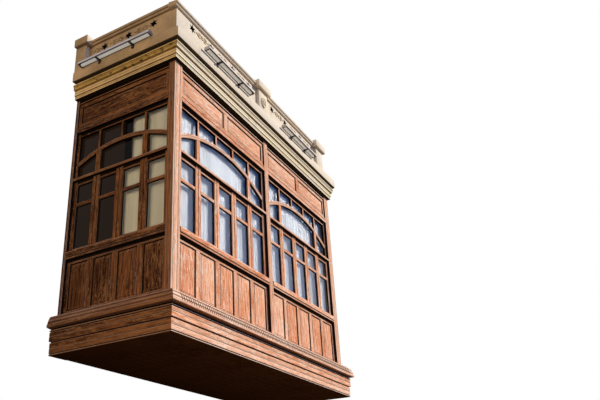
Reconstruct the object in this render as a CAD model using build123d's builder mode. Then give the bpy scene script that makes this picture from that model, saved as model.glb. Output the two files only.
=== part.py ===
from build123d import *
import math
import os

# Cantilevered timber window bay with a plastered cornice and parapet, in millimetres.
# X runs along the front, -Y points out from the wall, Z is up.
# The origin is on the wall plane, at the centre of the wall ledger's back face.
# On each face, "out" is the distance outwards from the face of the posts.

# Bays and posts, along the front and along a side
light_count_front = 5
light_width_front = 440
light_count_side = 4
light_width_side = 398
corner_post_front = 163
corner_post_side = 100
mid_post_width = 116
wall_post_width = 50
wall_post_depth = 120
post_depth = 100
corner_bead_radius = 14

# Storeys of the face, from the bottom of the base upwards
lower_board_height = 165
upper_board_height = 142
cap_cove_height = 28
cap_nose_height = 30
cap_slope_height = 125
panelling_height = 768
sill_height = 103
casement_height = 1034
transom_height = 38
fanlight_height = 727
frieze_rail_height = 88
frieze_height = 462

# Base moulding
base_thickness = 100
lower_board_out = 70
upper_board_out = 80
cove_out = 95
cap_out = 160
soffit_thickness = 25
ledger_height = 280
ledger_thickness = 60
deck_thickness = 40

# Rails of the main frame, and how far the infill stands back from them
rail_depth = 100
sill_out = 8
infill_set_back = 43
infill_thickness = 45
joint_gap = 1.5

# Lower panelling
panel_stile = 45
panel_muntin = 78
panel_bottom_rail = 130
panel_top_rail = 48
panel_field_margin = 32
panel_thickness = 20
panel_field_rise = 12

# Casements
sash_stile = 58
sash_bottom_rail = 34
sash_top_rail = 38
sash_thickness = 42
glazing_bar = 36
glazing_bar_height = 662
glass_thickness = 5
glass_set_back = 24

# Fanlights over the transom
fanlight_stile = 45
fanlight_head = 52
fanlight_bar = 40
fanlight_post = 86
arch_spring_height = 237
arch_rise_front = 262
arch_rise_side = 170
arch_width = 66

# Frieze panels
frieze_stile = 45
frieze_muntin = 83
frieze_top_rail = 59
frieze_bottom_rail = 58
frieze_bead_height = 12
frieze_bead_out = 19
frieze_bead_drop = 14
frieze_panel_thickness = 20
frieze_field_rise = 8

# Cornice, in three stepped faces under the roof slab
cornice_drip = 8
cornice_lower_height = 52
cornice_lower_out = 45
cornice_middle_height = 83
cornice_middle_out = 62
cornice_upper_height = 47
cornice_upper_out = 85
cornice_lip_out = 100
neck_height = 77
neck_out = 25
slab_thickness = 165
slab_out = 130

# Parapet on the roof slab
parapet_height = 445
parapet_thickness = 110
parapet_out = 20
parapet_right_inset = 242
coping_height = 100
coping_out = 48
coping_bed_out = 28
coping_bed_height = 38
coping_fall = 18
pier_out = 50
pier_width = 270
wall_pier_out = 90
wall_pier_width = 190
pier_cap_rise = 34
pier_cap_out = 45
pier_cap_side = 62
medallion_width = 150
medallion_height = 205
medallion_rise = 12
medallion_level = 230

# Pierced stars: two pairs in each half of the front, three on a side
star_radius = 76
star_inner_radius = 34
star_points = 6
star_height = 345
star_spacing_front = 475
star_pier_margin = 255
star_end_margin = 375
star_count_side = 3
star_spacing_side = 445

# Light bars on the edge of the slab
bar_width = 90
bar_height = 55
bar_wall = 5
bar_gap = 6
lamp_width = 38
lamp_height = 18
bracket_width = 40
bracket_thickness = 6
front_bars = [(485, 1740), (2790, 3980)]
side_bar = (290, 1570)
bracket_inset = 320

# Curtains behind the glass
curtain_thickness = 30
curtain_clearance = 0.3
curtain_floor_gap = 60
side_curtain_lights = 2

# Sizes that follow
bay_front = light_count_front * light_width_front
bay_side = light_count_side * light_width_side
length = 2 * corner_post_front + 2 * bay_front + mid_post_width
projection = wall_post_width + bay_side + corner_post_side

base_z = -(soffit_thickness + ledger_height / 2)
joint_z = base_z + lower_board_height
cove_z = joint_z + upper_board_height
nose_z = cove_z + cap_cove_height
slope_z = nose_z + cap_nose_height
post_z = slope_z + cap_slope_height
sill_z = post_z + panelling_height
casement_z = sill_z + sill_height
transom_z = casement_z + casement_height
fanlight_z = transom_z + transom_height
frieze_rail_z = fanlight_z + fanlight_height
frieze_z = frieze_rail_z + frieze_rail_height
cornice_z = frieze_z + frieze_height
cornice_lower_z = cornice_z + cornice_drip
cornice_middle_z = cornice_lower_z + cornice_lower_height
cornice_upper_z = cornice_middle_z + cornice_middle_height
neck_z = cornice_upper_z + cornice_upper_height
slab_z = neck_z + neck_height
parapet_z = slab_z + slab_thickness
coping_z = parapet_z + parapet_height
ledger_z = base_z + soffit_thickness
deck_z = ledger_z + ledger_height

left_x = -length / 2
front_y = -projection
inner_x = left_x + base_thickness
inner_y = front_y + base_thickness

# Face planes: local x runs along the face, local y is Z, local z points out
front_face = Plane(origin=(0, front_y, 0), x_dir=(1, 0, 0), z_dir=(0, -1, 0))
left_face = Plane(origin=(left_x, 0, 0), x_dir=(0, -1, 0), z_dir=(-1, 0, 0))

left_bay = (left_x + corner_post_front, light_count_front, light_width_front)
right_bay = (mid_post_width / 2, light_count_front, light_width_front)
side_bay = (wall_post_width, light_count_side, light_width_side)

os.makedirs("parts", exist_ok=True)
written = []


def write_piece(piece, name):
    """Label the piece and write its file."""
    piece.part.label = name
    export_step(piece.part, f"parts/{name}.step")
    written.append((name, piece.part))


def mirrored(piece):
    """The same piece on the other side."""
    with BuildPart() as twin:
        mirror(piece.part, about=Plane.YZ)
    return twin


def bar_sketch(plane, x, z, width, height):
    """A rectangle on a face plane, from its lower left corner."""
    with BuildSketch(plane) as bar:
        with Locations((x, z)):
            Rectangle(width, height, align=(Align.MIN, Align.MIN))
    return bar.sketch


def corner_mitre(side):
    """Vertical plane through a front corner, facing the middle of the front."""
    return Plane(origin=(side * length / 2, front_y, 0), z_dir=(-side, -1, 0))


# Mouldings that run round three sides, from one outline of (out, height) points
def moulding_outline(points, plane):
    with BuildSketch(plane) as outline:
        with BuildLine():
            Polyline(*points, close=True)
        make_face()
    return outline.sketch


def front_run(points):
    """The front length of a moulding, mitred at both corners."""
    plane = Plane(origin=(0, front_y, 0), x_dir=(0, -1, 0), z_dir=(-1, 0, 0))
    reach = length / 2 + slab_out + cap_out
    with BuildPart() as run:
        extrude(moulding_outline(points, plane), amount=reach, both=True)
        split(bisect_by=corner_mitre(1), keep=Keep.TOP)
        split(bisect_by=corner_mitre(-1), keep=Keep.TOP)
    return run


def left_run(points):
    """The left length of a moulding, from the wall to the front mitre."""
    plane = Plane(origin=(left_x, 0, 0), x_dir=(-1, 0, 0), z_dir=(0, 1, 0))
    reach = projection + slab_out + cap_out
    with BuildPart() as run:
        extrude(moulding_outline(points, plane), amount=-reach)
        split(bisect_by=corner_mitre(-1), keep=Keep.BOTTOM)
    return run


def write_runs(points, name):
    """Front, left and right lengths of one moulding."""
    write_piece(front_run(points), f"{name}_front")
    left = left_run(points)
    write_piece(left, f"{name}_left")
    write_piece(mirrored(left), f"{name}_right")


# Floor: soffit below, ledger on the wall, deck on top
with BuildPart() as soffit:
    with BuildSketch(Plane.XY.offset(base_z)):
        with Locations((0, inner_y / 2)):
            Rectangle(-2 * inner_x, -inner_y)
    extrude(amount=soffit_thickness)
write_piece(soffit, "soffit")

with BuildPart() as wall_ledger:
    with BuildSketch(Plane.XY.offset(ledger_z)):
        with Locations((0, -ledger_thickness / 2)):
            Rectangle(-2 * inner_x, ledger_thickness)
    extrude(amount=ledger_height)
write_piece(wall_ledger, "wall_ledger")

with BuildPart() as floor_deck:
    with BuildSketch(Plane.XY.offset(deck_z)):
        with Locations((0, inner_y / 2)):
            Rectangle(-2 * inner_x, -inner_y)
    extrude(amount=deck_thickness)
write_piece(floor_deck, "floor_deck")

# Base moulding: two boards, a cove and a sloping cap
base_points = [
    (-base_thickness, base_z),
    (lower_board_out, base_z),
    (lower_board_out, joint_z),
    (upper_board_out, joint_z),
    (upper_board_out, cove_z),
    (cove_out, cove_z),
    (cap_out, nose_z),
    (cap_out, slope_z),
    (0, post_z),
    (-base_thickness, post_z),
]
write_runs(base_points, "base_moulding")

# Posts stand on the base and carry the cornice
post_height = cornice_z - post_z
with BuildPart() as corner_post_left:
    with BuildSketch(Plane.XY.offset(post_z)):
        with Locations((left_x, front_y)):
            Rectangle(corner_post_front, corner_post_side, align=(Align.MIN, Align.MIN))
    extrude(amount=post_height)
    corner_edge = corner_post_left.edges().filter_by(Axis.Z).group_by(Axis.X)[0].sort_by(Axis.Y)[0]
    fillet(corner_edge, radius=corner_bead_radius)
write_piece(corner_post_left, "corner_post_left")
write_piece(mirrored(corner_post_left), "corner_post_right")

with BuildPart() as mid_post:
    with BuildSketch(Plane.XY.offset(post_z)):
        with Locations((0, front_y)):
            Rectangle(mid_post_width, post_depth, align=(Align.CENTER, Align.MIN))
    extrude(amount=post_height)
write_piece(mid_post, "mid_post")

with BuildPart() as wall_post_left:
    with BuildSketch(Plane.XY.offset(post_z)):
        with Locations((left_x, 0)):
            Rectangle(wall_post_depth, wall_post_width, align=(Align.MIN, Align.MAX))
    extrude(amount=post_height)
write_piece(wall_post_left, "wall_post_left")
write_piece(mirrored(wall_post_left), "wall_post_right")


# Sill, transom and frieze rails of the main frame, between the posts
def rail_set(plane, bays):
    """The three rails of each bay, flush with the posts."""
    with BuildPart() as rails:
        for start, lights, light_width in bays:
            width = lights * light_width
            sill = bar_sketch(plane.offset(-rail_depth), start, sill_z, width, sill_height)
            extrude(sill, amount=rail_depth + sill_out)
            transom = bar_sketch(plane.offset(-rail_depth), start, transom_z, width, transom_height)
            extrude(transom, amount=rail_depth)
            frieze_rail = bar_sketch(
                plane.offset(-rail_depth), start, frieze_rail_z, width, frieze_rail_height
            )
            extrude(frieze_rail, amount=rail_depth)
    return rails


write_piece(rail_set(front_face, [left_bay, right_bay]), "rails_front")
rails_left = rail_set(left_face, [side_bay])
write_piece(rails_left, "rails_left")
write_piece(mirrored(rails_left), "rails_right")


# Lower panelling: a frame with one raised panel under each light
def panelling(plane, bays):
    outer = plane.offset(-infill_set_back - infill_thickness)
    panel_height = panelling_height - panel_bottom_rail - panel_top_rail
    panel_z = post_z + panel_bottom_rail
    with BuildPart() as panels:
        for start, lights, light_width in bays:
            width = lights * light_width
            frame = bar_sketch(outer, start, post_z, width, panelling_height)
            extrude(frame, amount=infill_thickness)
            for light in range(lights):
                first = light == 0
                last = light == lights - 1
                x = start + light * light_width + (panel_stile if first else panel_muntin / 2)
                end = start + (light + 1) * light_width - (panel_stile if last else panel_muntin / 2)
                recess = bar_sketch(outer.offset(panel_thickness), x, panel_z, end - x, panel_height)
                extrude(recess, amount=infill_thickness, mode=Mode.SUBTRACT)
                field = bar_sketch(
                    outer.offset(panel_thickness),
                    x + panel_field_margin,
                    panel_z + panel_field_margin,
                    end - x - 2 * panel_field_margin,
                    panel_height - 2 * panel_field_margin,
                )
                extrude(field, amount=panel_field_rise)
    return panels


write_piece(panelling(front_face, [left_bay, right_bay]), "panelling_front")
panelling_left = panelling(left_face, [side_bay])
write_piece(panelling_left, "panelling_left")
write_piece(mirrored(panelling_left), "panelling_right")


# Casements: one sash a light, with one bar across it
def casements(plane, bay):
    start, lights, light_width = bay
    outer = plane.offset(-infill_set_back - sash_thickness)
    bar_z = casement_z + glazing_bar_height
    with BuildPart() as sashes:
        for light in range(lights):
            x = start + light * light_width + joint_gap / 2
            width = light_width - joint_gap
            pane_x = x + sash_stile
            pane_width = width - 2 * sash_stile
            pane_z = casement_z + sash_bottom_rail
            pane_height = casement_height - sash_bottom_rail - sash_top_rail
            with BuildSketch(outer) as sash:
                with Locations((x, casement_z)):
                    Rectangle(width, casement_height, align=(Align.MIN, Align.MIN))
                with Locations((pane_x, pane_z)):
                    Rectangle(pane_width, pane_height, align=(Align.MIN, Align.MIN), mode=Mode.SUBTRACT)
            extrude(sash.sketch, amount=sash_thickness)
            bar = bar_sketch(outer.offset(sash_thickness - glass_set_back), pane_x, bar_z,
                             pane_width, glazing_bar)
            extrude(bar, amount=glass_set_back)
    return sashes


# Fanlights: a frame with a segmental bar, whose outer lights are cut by full posts
def arch_radius(span, rise):
    return (span * span / 4 + rise * rise) / (2 * rise)


def fanlight(plane, bay, rise):
    start, lights, light_width = bay
    width = lights * light_width
    middle = start + width / 2
    span = width - 2 * fanlight_stile
    outer = plane.offset(-infill_set_back - infill_thickness)
    spring_z = fanlight_z + arch_spring_height
    radius = arch_radius(span, rise)
    arch_centre = (middle, spring_z + rise - radius)
    first_post = start + light_width
    last_post = start + width - light_width
    with BuildPart() as frame:
        with BuildSketch(outer) as outline:
            with Locations((start, fanlight_z)):
                Rectangle(width, fanlight_height, align=(Align.MIN, Align.MIN))
            with Locations((start + fanlight_stile, fanlight_z + sash_bottom_rail)):
                Rectangle(
                    span,
                    fanlight_height - sash_bottom_rail - fanlight_head,
                    align=(Align.MIN, Align.MIN),
                    mode=Mode.SUBTRACT,
                )
        extrude(outline.sketch, amount=infill_thickness)
        with BuildSketch(outer) as bars:
            with Locations((middle, fanlight_z)):
                Rectangle(width - fanlight_stile, fanlight_height - fanlight_head / 2,
                          align=(Align.CENTER, Align.MIN))
            with Locations(arch_centre):
                Circle(radius, mode=Mode.SUBTRACT)
            with BuildSketch(mode=Mode.PRIVATE) as above:
                for light in range(1, lights):
                    with Locations((start + light * light_width, fanlight_z)):
                        Rectangle(fanlight_bar, fanlight_height, align=(Align.CENTER, Align.MIN))
            add(above.sketch, mode=Mode.INTERSECT)
        extrude(bars.sketch, amount=infill_thickness)
        with BuildSketch(outer) as arch:
            with Locations((middle, fanlight_z + sash_bottom_rail / 2)):
                Rectangle(width - fanlight_stile, fanlight_height, align=(Align.CENTER, Align.MIN))
            with BuildSketch(mode=Mode.PRIVATE) as ring:
                with Locations(arch_centre):
                    Circle(radius + arch_width / 2)
                    Circle(radius - arch_width / 2, mode=Mode.SUBTRACT)
            add(ring.sketch, mode=Mode.INTERSECT)
        extrude(arch.sketch, amount=infill_thickness)
        with BuildSketch(outer) as posts:
            with Locations((first_post, fanlight_z), (last_post, fanlight_z)):
                Rectangle(fanlight_post, arch_spring_height + rise, align=(Align.CENTER, Align.MIN))
            with BuildSketch(mode=Mode.PRIVATE) as disc:
                with Locations(arch_centre):
                    Circle(radius)
            add(disc.sketch, mode=Mode.INTERSECT)
        extrude(posts.sketch, amount=infill_thickness)
    return frame


write_piece(casements(front_face, left_bay), "casements_front_left")
write_piece(casements(front_face, right_bay), "casements_front_right")
casements_left = casements(left_face, side_bay)
write_piece(casements_left, "casements_left")
write_piece(mirrored(casements_left), "casements_right")

write_piece(fanlight(front_face, left_bay, arch_rise_front), "fanlight_front_left")
write_piece(fanlight(front_face, right_bay, arch_rise_front), "fanlight_front_right")
fanlight_left = fanlight(left_face, side_bay, arch_rise_side)
write_piece(fanlight_left, "fanlight_left")
write_piece(mirrored(fanlight_left), "fanlight_right")


# Glass: a pane against the back of each glazing bar, and one behind each fanlight's bars
def glazing(plane, bays):
    casement_back = -infill_set_back - glass_set_back - glass_thickness
    fanlight_back = -infill_set_back - infill_thickness - glass_thickness
    with BuildPart() as glass:
        for start, lights, light_width in bays:
            for light in range(lights):
                x = start + light * light_width + joint_gap / 2 + sash_stile
                pane = bar_sketch(
                    plane.offset(casement_back),
                    x,
                    casement_z + sash_bottom_rail,
                    light_width - joint_gap - 2 * sash_stile,
                    casement_height - sash_bottom_rail - sash_top_rail,
                )
                extrude(pane, amount=glass_thickness)
            width = lights * light_width
            pane = bar_sketch(
                plane.offset(fanlight_back),
                start,
                fanlight_z,
                width,
                fanlight_height,
            )
            extrude(pane, amount=glass_thickness)
    return glass


write_piece(glazing(front_face, [left_bay, right_bay]), "glazing_front")
glazing_left = glazing(left_face, [side_bay])
write_piece(glazing_left, "glazing_left")
write_piece(mirrored(glazing_left), "glazing_right")


# Frieze: framed panels between the frieze rail and the cornice
def frieze(plane, bays, panels):
    outer = plane.offset(-infill_set_back - infill_thickness)
    panel_z = frieze_z + frieze_bottom_rail
    panel_height = frieze_height - frieze_bottom_rail - frieze_top_rail
    with BuildPart() as board:
        for start, lights, light_width in bays:
            width = lights * light_width
            extrude(bar_sketch(outer, start, frieze_z, width, frieze_height), amount=infill_thickness)
            step = width / panels
            for panel in range(panels):
                x = start + panel * step + (frieze_stile if panel == 0 else frieze_muntin / 2)
                last = panel == panels - 1
                end = start + (panel + 1) * step - (frieze_stile if last else frieze_muntin / 2)
                recess = bar_sketch(
                    outer.offset(frieze_panel_thickness), x, panel_z, end - x, panel_height
                )
                extrude(recess, amount=infill_thickness, mode=Mode.SUBTRACT)
                field = bar_sketch(
                    outer.offset(frieze_panel_thickness),
                    x + panel_field_margin,
                    panel_z + panel_field_margin,
                    end - x - 2 * panel_field_margin,
                    panel_height - 2 * panel_field_margin,
                )
                extrude(field, amount=frieze_field_rise)
            bead = bar_sketch(
                outer.offset(infill_thickness),
                start,
                cornice_z - frieze_bead_drop,
                width,
                frieze_bead_height,
            )
            extrude(bead, amount=frieze_bead_out)
    return board


write_piece(frieze(front_face, [left_bay, right_bay], 2), "frieze_front")
frieze_left = frieze(left_face, [side_bay], 1)
write_piece(frieze_left, "frieze_left")
write_piece(mirrored(frieze_left), "frieze_right")

# Cornice: stepped faces, a flared lip and a set-back neck that carries the slab
cornice_points = [
    (-post_depth, cornice_z),
    (0, cornice_z),
    (0, cornice_lower_z),
    (cornice_lower_out, cornice_lower_z),
    (cornice_lower_out, cornice_middle_z),
    (cornice_middle_out, cornice_middle_z),
    (cornice_middle_out, cornice_upper_z),
    (cornice_upper_out, cornice_upper_z),
    (cornice_lip_out, neck_z),
    (neck_out, neck_z),
    (neck_out, slab_z),
    (-post_depth, slab_z),
]
write_runs(cornice_points, "cornice")

# Roof slab over the bay
with BuildPart() as roof_slab:
    with BuildSketch(Plane.XY.offset(slab_z)):
        with Locations((0, front_y - slab_out)):
            Rectangle(length + 2 * slab_out, projection + slab_out, align=(Align.CENTER, Align.MIN))
    extrude(amount=slab_thickness)
write_piece(roof_slab, "roof_slab")

# Parapet plan, in X from the left end of the front to its right end
parapet_left_x = left_x - parapet_out
parapet_right_x = length / 2 - parapet_right_inset
parapet_front_y = front_y - parapet_out
parapet_back_y = parapet_front_y + parapet_thickness
parapet_middle_x = (parapet_left_x + parapet_right_x) / 2


def star_sketch(plane, places):
    """Pointed star openings at places along a face."""
    with BuildSketch(plane) as stars:
        with Locations(*[(place, parapet_z + star_height) for place in places]):
            corners = []
            for corner in range(2 * star_points):
                radius = star_radius if corner % 2 == 0 else star_inner_radius
                angle = math.radians(90 + corner * 180 / star_points)
                corners.append((radius * math.cos(angle), radius * math.sin(angle)))
            Polygon(*corners, align=None)
    return stars.sketch


def front_star_places():
    """Two pairs each side of the middle pier, kept off the pier and off the ends."""
    inner = pier_width / 2 + star_pier_margin
    outer = parapet_right_x - parapet_middle_x - star_end_margin
    offsets = [inner, inner + star_spacing_front, outer - star_spacing_front, outer]
    return [parapet_middle_x + side * offset for side in (-1, 1) for offset in offsets]


def side_star_places():
    """Evenly about the middle of the free length, as distances from the wall."""
    middle = (wall_pier_width - parapet_back_y) / 2
    return [middle + (star - (star_count_side - 1) / 2) * star_spacing_side
            for star in range(star_count_side)]


middle_pier_x = parapet_middle_x - pier_width / 2
right_pier_x = parapet_right_x - pier_width
with BuildPart() as parapet_front:
    front_wall = bar_sketch(
        front_face.offset(parapet_out - parapet_thickness),
        parapet_left_x,
        parapet_z,
        parapet_right_x - parapet_left_x,
        parapet_height,
    )
    extrude(front_wall, amount=parapet_thickness)
    for pier_x in (middle_pier_x, right_pier_x):
        pier = bar_sketch(front_face.offset(parapet_out), pier_x, parapet_z, pier_width, parapet_height)
        extrude(pier, amount=pier_out)
    with BuildSketch(front_face.offset(parapet_out + pier_out)) as medallion:
        with Locations((parapet_middle_x, parapet_z + medallion_level)):
            Ellipse(medallion_width / 2, medallion_height / 2)
    extrude(medallion.sketch, amount=medallion_rise)
    extrude(
        star_sketch(front_face.offset(parapet_out), front_star_places()),
        amount=-parapet_thickness,
        mode=Mode.SUBTRACT,
    )
write_piece(parapet_front, "parapet_front")


def side_parapet(plane):
    """A side parapet from the wall to the back of the front parapet."""
    side_length = -parapet_back_y
    with BuildPart() as wall:
        run = bar_sketch(plane.offset(-parapet_thickness), 0, parapet_z, side_length, parapet_height)
        extrude(run, amount=parapet_thickness)
        pier = bar_sketch(plane, 0, parapet_z, wall_pier_width, parapet_height)
        extrude(pier, amount=wall_pier_out)
        extrude(star_sketch(plane, side_star_places()), amount=-parapet_thickness, mode=Mode.SUBTRACT)
    return wall


write_piece(side_parapet(left_face.offset(parapet_out)), "parapet_left")
write_piece(mirrored(side_parapet(left_face.offset(-parapet_right_inset))), "parapet_right")

# Coping: a bed and an overhanging top that falls outwards, stepped up over each pier
coping_top_z = coping_z + coping_height
coping_points = [
    (-parapet_thickness, coping_z),
    (coping_bed_out, coping_z),
    (coping_bed_out, coping_z + coping_bed_height),
    (coping_out, coping_z + coping_bed_height),
    (coping_out, coping_top_z - coping_fall),
    (-parapet_thickness, coping_top_z),
]


with BuildPart() as coping_front:
    end_plane = Plane(
        origin=(parapet_left_x - coping_out, parapet_front_y, 0), x_dir=(0, -1, 0), z_dir=(-1, 0, 0)
    )
    front_length = parapet_right_x - parapet_left_x + 2 * coping_out
    extrude(moulding_outline(coping_points, end_plane), amount=-front_length)
    for pier_x in (middle_pier_x, right_pier_x):
        cap = bar_sketch(
            front_face.offset(parapet_out - parapet_thickness),
            pier_x - pier_cap_side,
            coping_z,
            pier_width + 2 * pier_cap_side,
            coping_height + pier_cap_rise,
        )
        extrude(cap, amount=parapet_thickness + pier_out + pier_cap_out)
write_piece(coping_front, "coping_front")


def side_coping(face_x):
    """Coping from the wall to the back of the front coping."""
    with BuildPart() as coping:
        plane = Plane(origin=(face_x, 0, 0), x_dir=(-1, 0, 0), z_dir=(0, 1, 0))
        extrude(moulding_outline(coping_points, plane), amount=parapet_back_y)
        cap = bar_sketch(
            Plane(origin=(face_x, 0, 0), x_dir=(0, -1, 0), z_dir=(-1, 0, 0)).offset(-parapet_thickness),
            0,
            coping_z,
            wall_pier_width + pier_cap_side,
            coping_height + pier_cap_rise,
        )
        extrude(cap, amount=parapet_thickness + wall_pier_out + pier_cap_out)
    return coping


write_piece(side_coping(parapet_left_x), "coping_left")
write_piece(mirrored(side_coping(-parapet_right_x)), "coping_right")


# Light bars: a hood open below, with a lamp under its top, on two brackets from the parapet
def light_bar(plane, start, end, face_out):
    bar_z = parapet_z + bar_gap
    with BuildPart() as light:
        body = bar_sketch(plane.offset(slab_out), start, bar_z, end - start, bar_height)
        extrude(body, amount=bar_width)
        hollow = bar_sketch(
            plane.offset(slab_out + bar_wall),
            start + bar_wall,
            bar_z,
            end - start - 2 * bar_wall,
            bar_height - bar_wall,
        )
        extrude(hollow, amount=bar_width - 2 * bar_wall, mode=Mode.SUBTRACT)
        lamp = bar_sketch(
            plane.offset(slab_out + (bar_width - lamp_width) / 2),
            start + bar_wall,
            bar_z + bar_height - bar_wall - lamp_height,
            end - start - 2 * bar_wall,
            lamp_height,
        )
        extrude(lamp, amount=lamp_width)
        for x in (start + bracket_inset, end - bracket_inset - bracket_width):
            foot = bar_sketch(plane.offset(face_out), x, parapet_z, bracket_width, bracket_thickness)
            extrude(foot, amount=slab_out - face_out)
            upright = bar_sketch(plane.offset(slab_out - bracket_thickness), x, parapet_z,
                                 bracket_width, bar_height)
            extrude(upright, amount=bracket_thickness)
    return light


with BuildPart() as light_bars_front:
    for bar_start, bar_end in front_bars:
        add(light_bar(front_face, left_x + bar_start, left_x + bar_end, parapet_out).part)
write_piece(light_bars_front, "light_bars_front")
side_bar_start = projection - side_bar[1]
side_bar_end = projection - side_bar[0]
light_bar_left = light_bar(left_face, side_bar_start, side_bar_end, parapet_out)
write_piece(light_bar_left, "light_bar_left")
light_bar_right_twin = light_bar(left_face, side_bar_start, side_bar_end, -parapet_right_inset)
write_piece(mirrored(light_bar_right_twin), "light_bar_right")


# Curtains hang from the frieze rails to just above the floor
def curtain(plane, start, width):
    bottom = deck_z + deck_thickness + curtain_floor_gap
    back = plane.offset(-rail_depth - curtain_clearance - curtain_thickness)
    height = frieze_z - bottom
    with BuildPart() as hanging:
        extrude(bar_sketch(back, start, bottom, width, height), amount=curtain_thickness)
    return hanging


write_piece(curtain(front_face, left_bay[0], bay_front), "curtain_front_left")
write_piece(curtain(front_face, right_bay[0], bay_front), "curtain_front_right")
side_curtain_width = side_curtain_lights * light_width_side
side_curtain_start = wall_post_width + bay_side - side_curtain_width
curtain_left = curtain(left_face, side_curtain_start, side_curtain_width)
write_piece(curtain_left, "curtain_left")
write_piece(mirrored(curtain_left), "curtain_right")

print(len(written), "pieces; length", length, "projection", projection)
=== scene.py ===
"""Looks of a projecting timber window bay with a plastered cornice and a parapet.

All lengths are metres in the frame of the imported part: X along the front, -Y out from the
wall, Z up, with the origin on the wall plane at the centre of the wall ledger's back.
"""

import itertools
import math
import random

import bmesh
import bpy
from bpy.props import FloatProperty, FloatVectorProperty, PointerProperty
from mathutils import Matrix, Vector


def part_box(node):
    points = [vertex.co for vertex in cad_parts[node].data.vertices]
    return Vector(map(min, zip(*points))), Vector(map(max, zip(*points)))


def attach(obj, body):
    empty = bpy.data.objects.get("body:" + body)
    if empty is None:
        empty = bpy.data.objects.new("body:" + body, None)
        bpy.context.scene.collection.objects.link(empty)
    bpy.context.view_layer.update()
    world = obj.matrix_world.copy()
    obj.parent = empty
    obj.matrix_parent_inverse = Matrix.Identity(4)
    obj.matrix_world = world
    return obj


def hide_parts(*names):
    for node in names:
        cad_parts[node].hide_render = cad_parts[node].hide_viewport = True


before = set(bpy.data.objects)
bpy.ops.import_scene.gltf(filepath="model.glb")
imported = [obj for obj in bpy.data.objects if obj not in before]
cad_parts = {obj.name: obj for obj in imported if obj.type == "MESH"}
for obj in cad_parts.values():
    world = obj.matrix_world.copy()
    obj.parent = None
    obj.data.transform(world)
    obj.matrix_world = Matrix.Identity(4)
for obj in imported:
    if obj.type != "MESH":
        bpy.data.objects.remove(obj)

bl_info = {
    "name": "Timber Window Bay",
    "version": (1, 0, 0),
    "blender": (4, 5, 0),
    "location": "View3D > Sidebar > Window Bay",
    "description": "Dresses the solids of a window bay with boards, glass and plaster",
    "category": "Object",
}

BODY = "root"

# Places read from the solids
CORNER_LOW, CORNER_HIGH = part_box("corner_post_left")
MID_LOW, MID_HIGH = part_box("mid_post")
WALL_POST_LOW, WALL_POST_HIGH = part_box("wall_post_left")
SASH_LOW, SASH_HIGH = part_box("casements_front_left")
FAN_LOW, FAN_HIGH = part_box("fanlight_front_left")
SLAB_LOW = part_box("roof_slab")[0]
PARAPET_LOW, PARAPET_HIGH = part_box("parapet_front")
BARS_LOW, BARS_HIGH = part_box("light_bars_front")
SIDE_BAR_LOW, SIDE_BAR_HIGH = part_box("light_bar_left")

LEFT_X = CORNER_LOW.x
RIGHT_X = -LEFT_X
FRONT_Y = CORNER_LOW.y
BASE_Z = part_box("base_moulding_front")[0].z
POST_Z = CORNER_LOW.z
SILL_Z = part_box("rails_front")[0].z
CASEMENT_Z = SASH_LOW.z
TRANSOM_Z = SASH_HIGH.z
FANLIGHT_Z = FAN_LOW.z
FRIEZE_RAIL_Z = FAN_HIGH.z
FRIEZE_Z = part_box("frieze_front")[0].z
CORNICE_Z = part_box("cornice_front")[0].z
SLAB_Z = SLAB_LOW.z
PARAPET_Z = PARAPET_LOW.z
PARAPET_MIDDLE = (PARAPET_LOW.x + PARAPET_HIGH.x) / 2
PARAPET_FACE_X = SIDE_BAR_HIGH.x
PARAPET_FACE_Y = BARS_HIGH.y
SLAB_OUT = FRONT_Y - SLAB_LOW.y

# Ornaments of the parapet: pierced stars, sprays between them and an oval medallion
STAR_Z = PARAPET_Z + 0.345
STAR_RADIUS = 0.076
FRONT_SPRAYS = {"left": -1.697, "right": 0.627}
FRONT_SPRAY_STEP = 0.535
SIDE_SPRAY = 0.285
SIDE_SPRAY_STEP = 0.445
SPRAYS_IN_ROW = 3
MEDALLION_Z = PARAPET_Z + 0.230
MEDALLION_HALF_WIDTH = 0.058
MEDALLION_HALF_HEIGHT = 0.086
MEDALLION_PETALS = 8

# A bay is where it starts along its face, how many lights it has and how wide each one is
FRONT_LIGHTS = 5
SIDE_LIGHTS = 4
FRONT_LIGHT = (MID_LOW.x - CORNER_HIGH.x) / FRONT_LIGHTS
SIDE_START = -WALL_POST_LOW.y
SIDE_LIGHT = (-CORNER_HIGH.y - SIDE_START) / SIDE_LIGHTS
LEFT_BAY = (CORNER_HIGH.x, FRONT_LIGHTS, FRONT_LIGHT)
RIGHT_BAY = (MID_HIGH.x, FRONT_LIGHTS, FRONT_LIGHT)
SIDE_BAY = (SIDE_START, SIDE_LIGHTS, SIDE_LIGHT)

# Light bars stand beyond the slab's edge, and the front one has a gap between its two runs
BAR_WIDTH = SLAB_LOW.y - BARS_LOW.y
BAR_Z = PARAPET_Z + 0.006
BAR_GAP = (-0.681, 0.369)
BRACKET_INSET = 0.340

# How far things stand out of the face of the posts
RAIL_BACK = -0.100
INFILL_FACE = -0.043
FRIEZE_FACE = -0.022
SASH_BACK = -0.085
INFILL_BACK = -0.088
SASH_GLASS = (-0.072, -0.067)
GLASS_GAP = 0.0003
POST_DEPTH = 0.110

# How much further out the side glass's painted dark tint reaches above the transom
UNLIT_STEP = 0.11

# A face looks away where its normal is below AWAY, and is recessed if it is deeper than FLUSH
AWAY = -0.6
FLUSH = 0.004

# The nose of the base's cap, and the boards of the soffit and the floor deck
CAP_NOSE = BASE_Z + 0.369
SOFFIT_TRIM = 0.11
SOFFIT_BOARD = 0.142
DECK_BOARDS = 18

UP = Vector((0, 0, 1))
SQUARE = ((0, 0), (1, 0), (1, 1), (0, 1))


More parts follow.
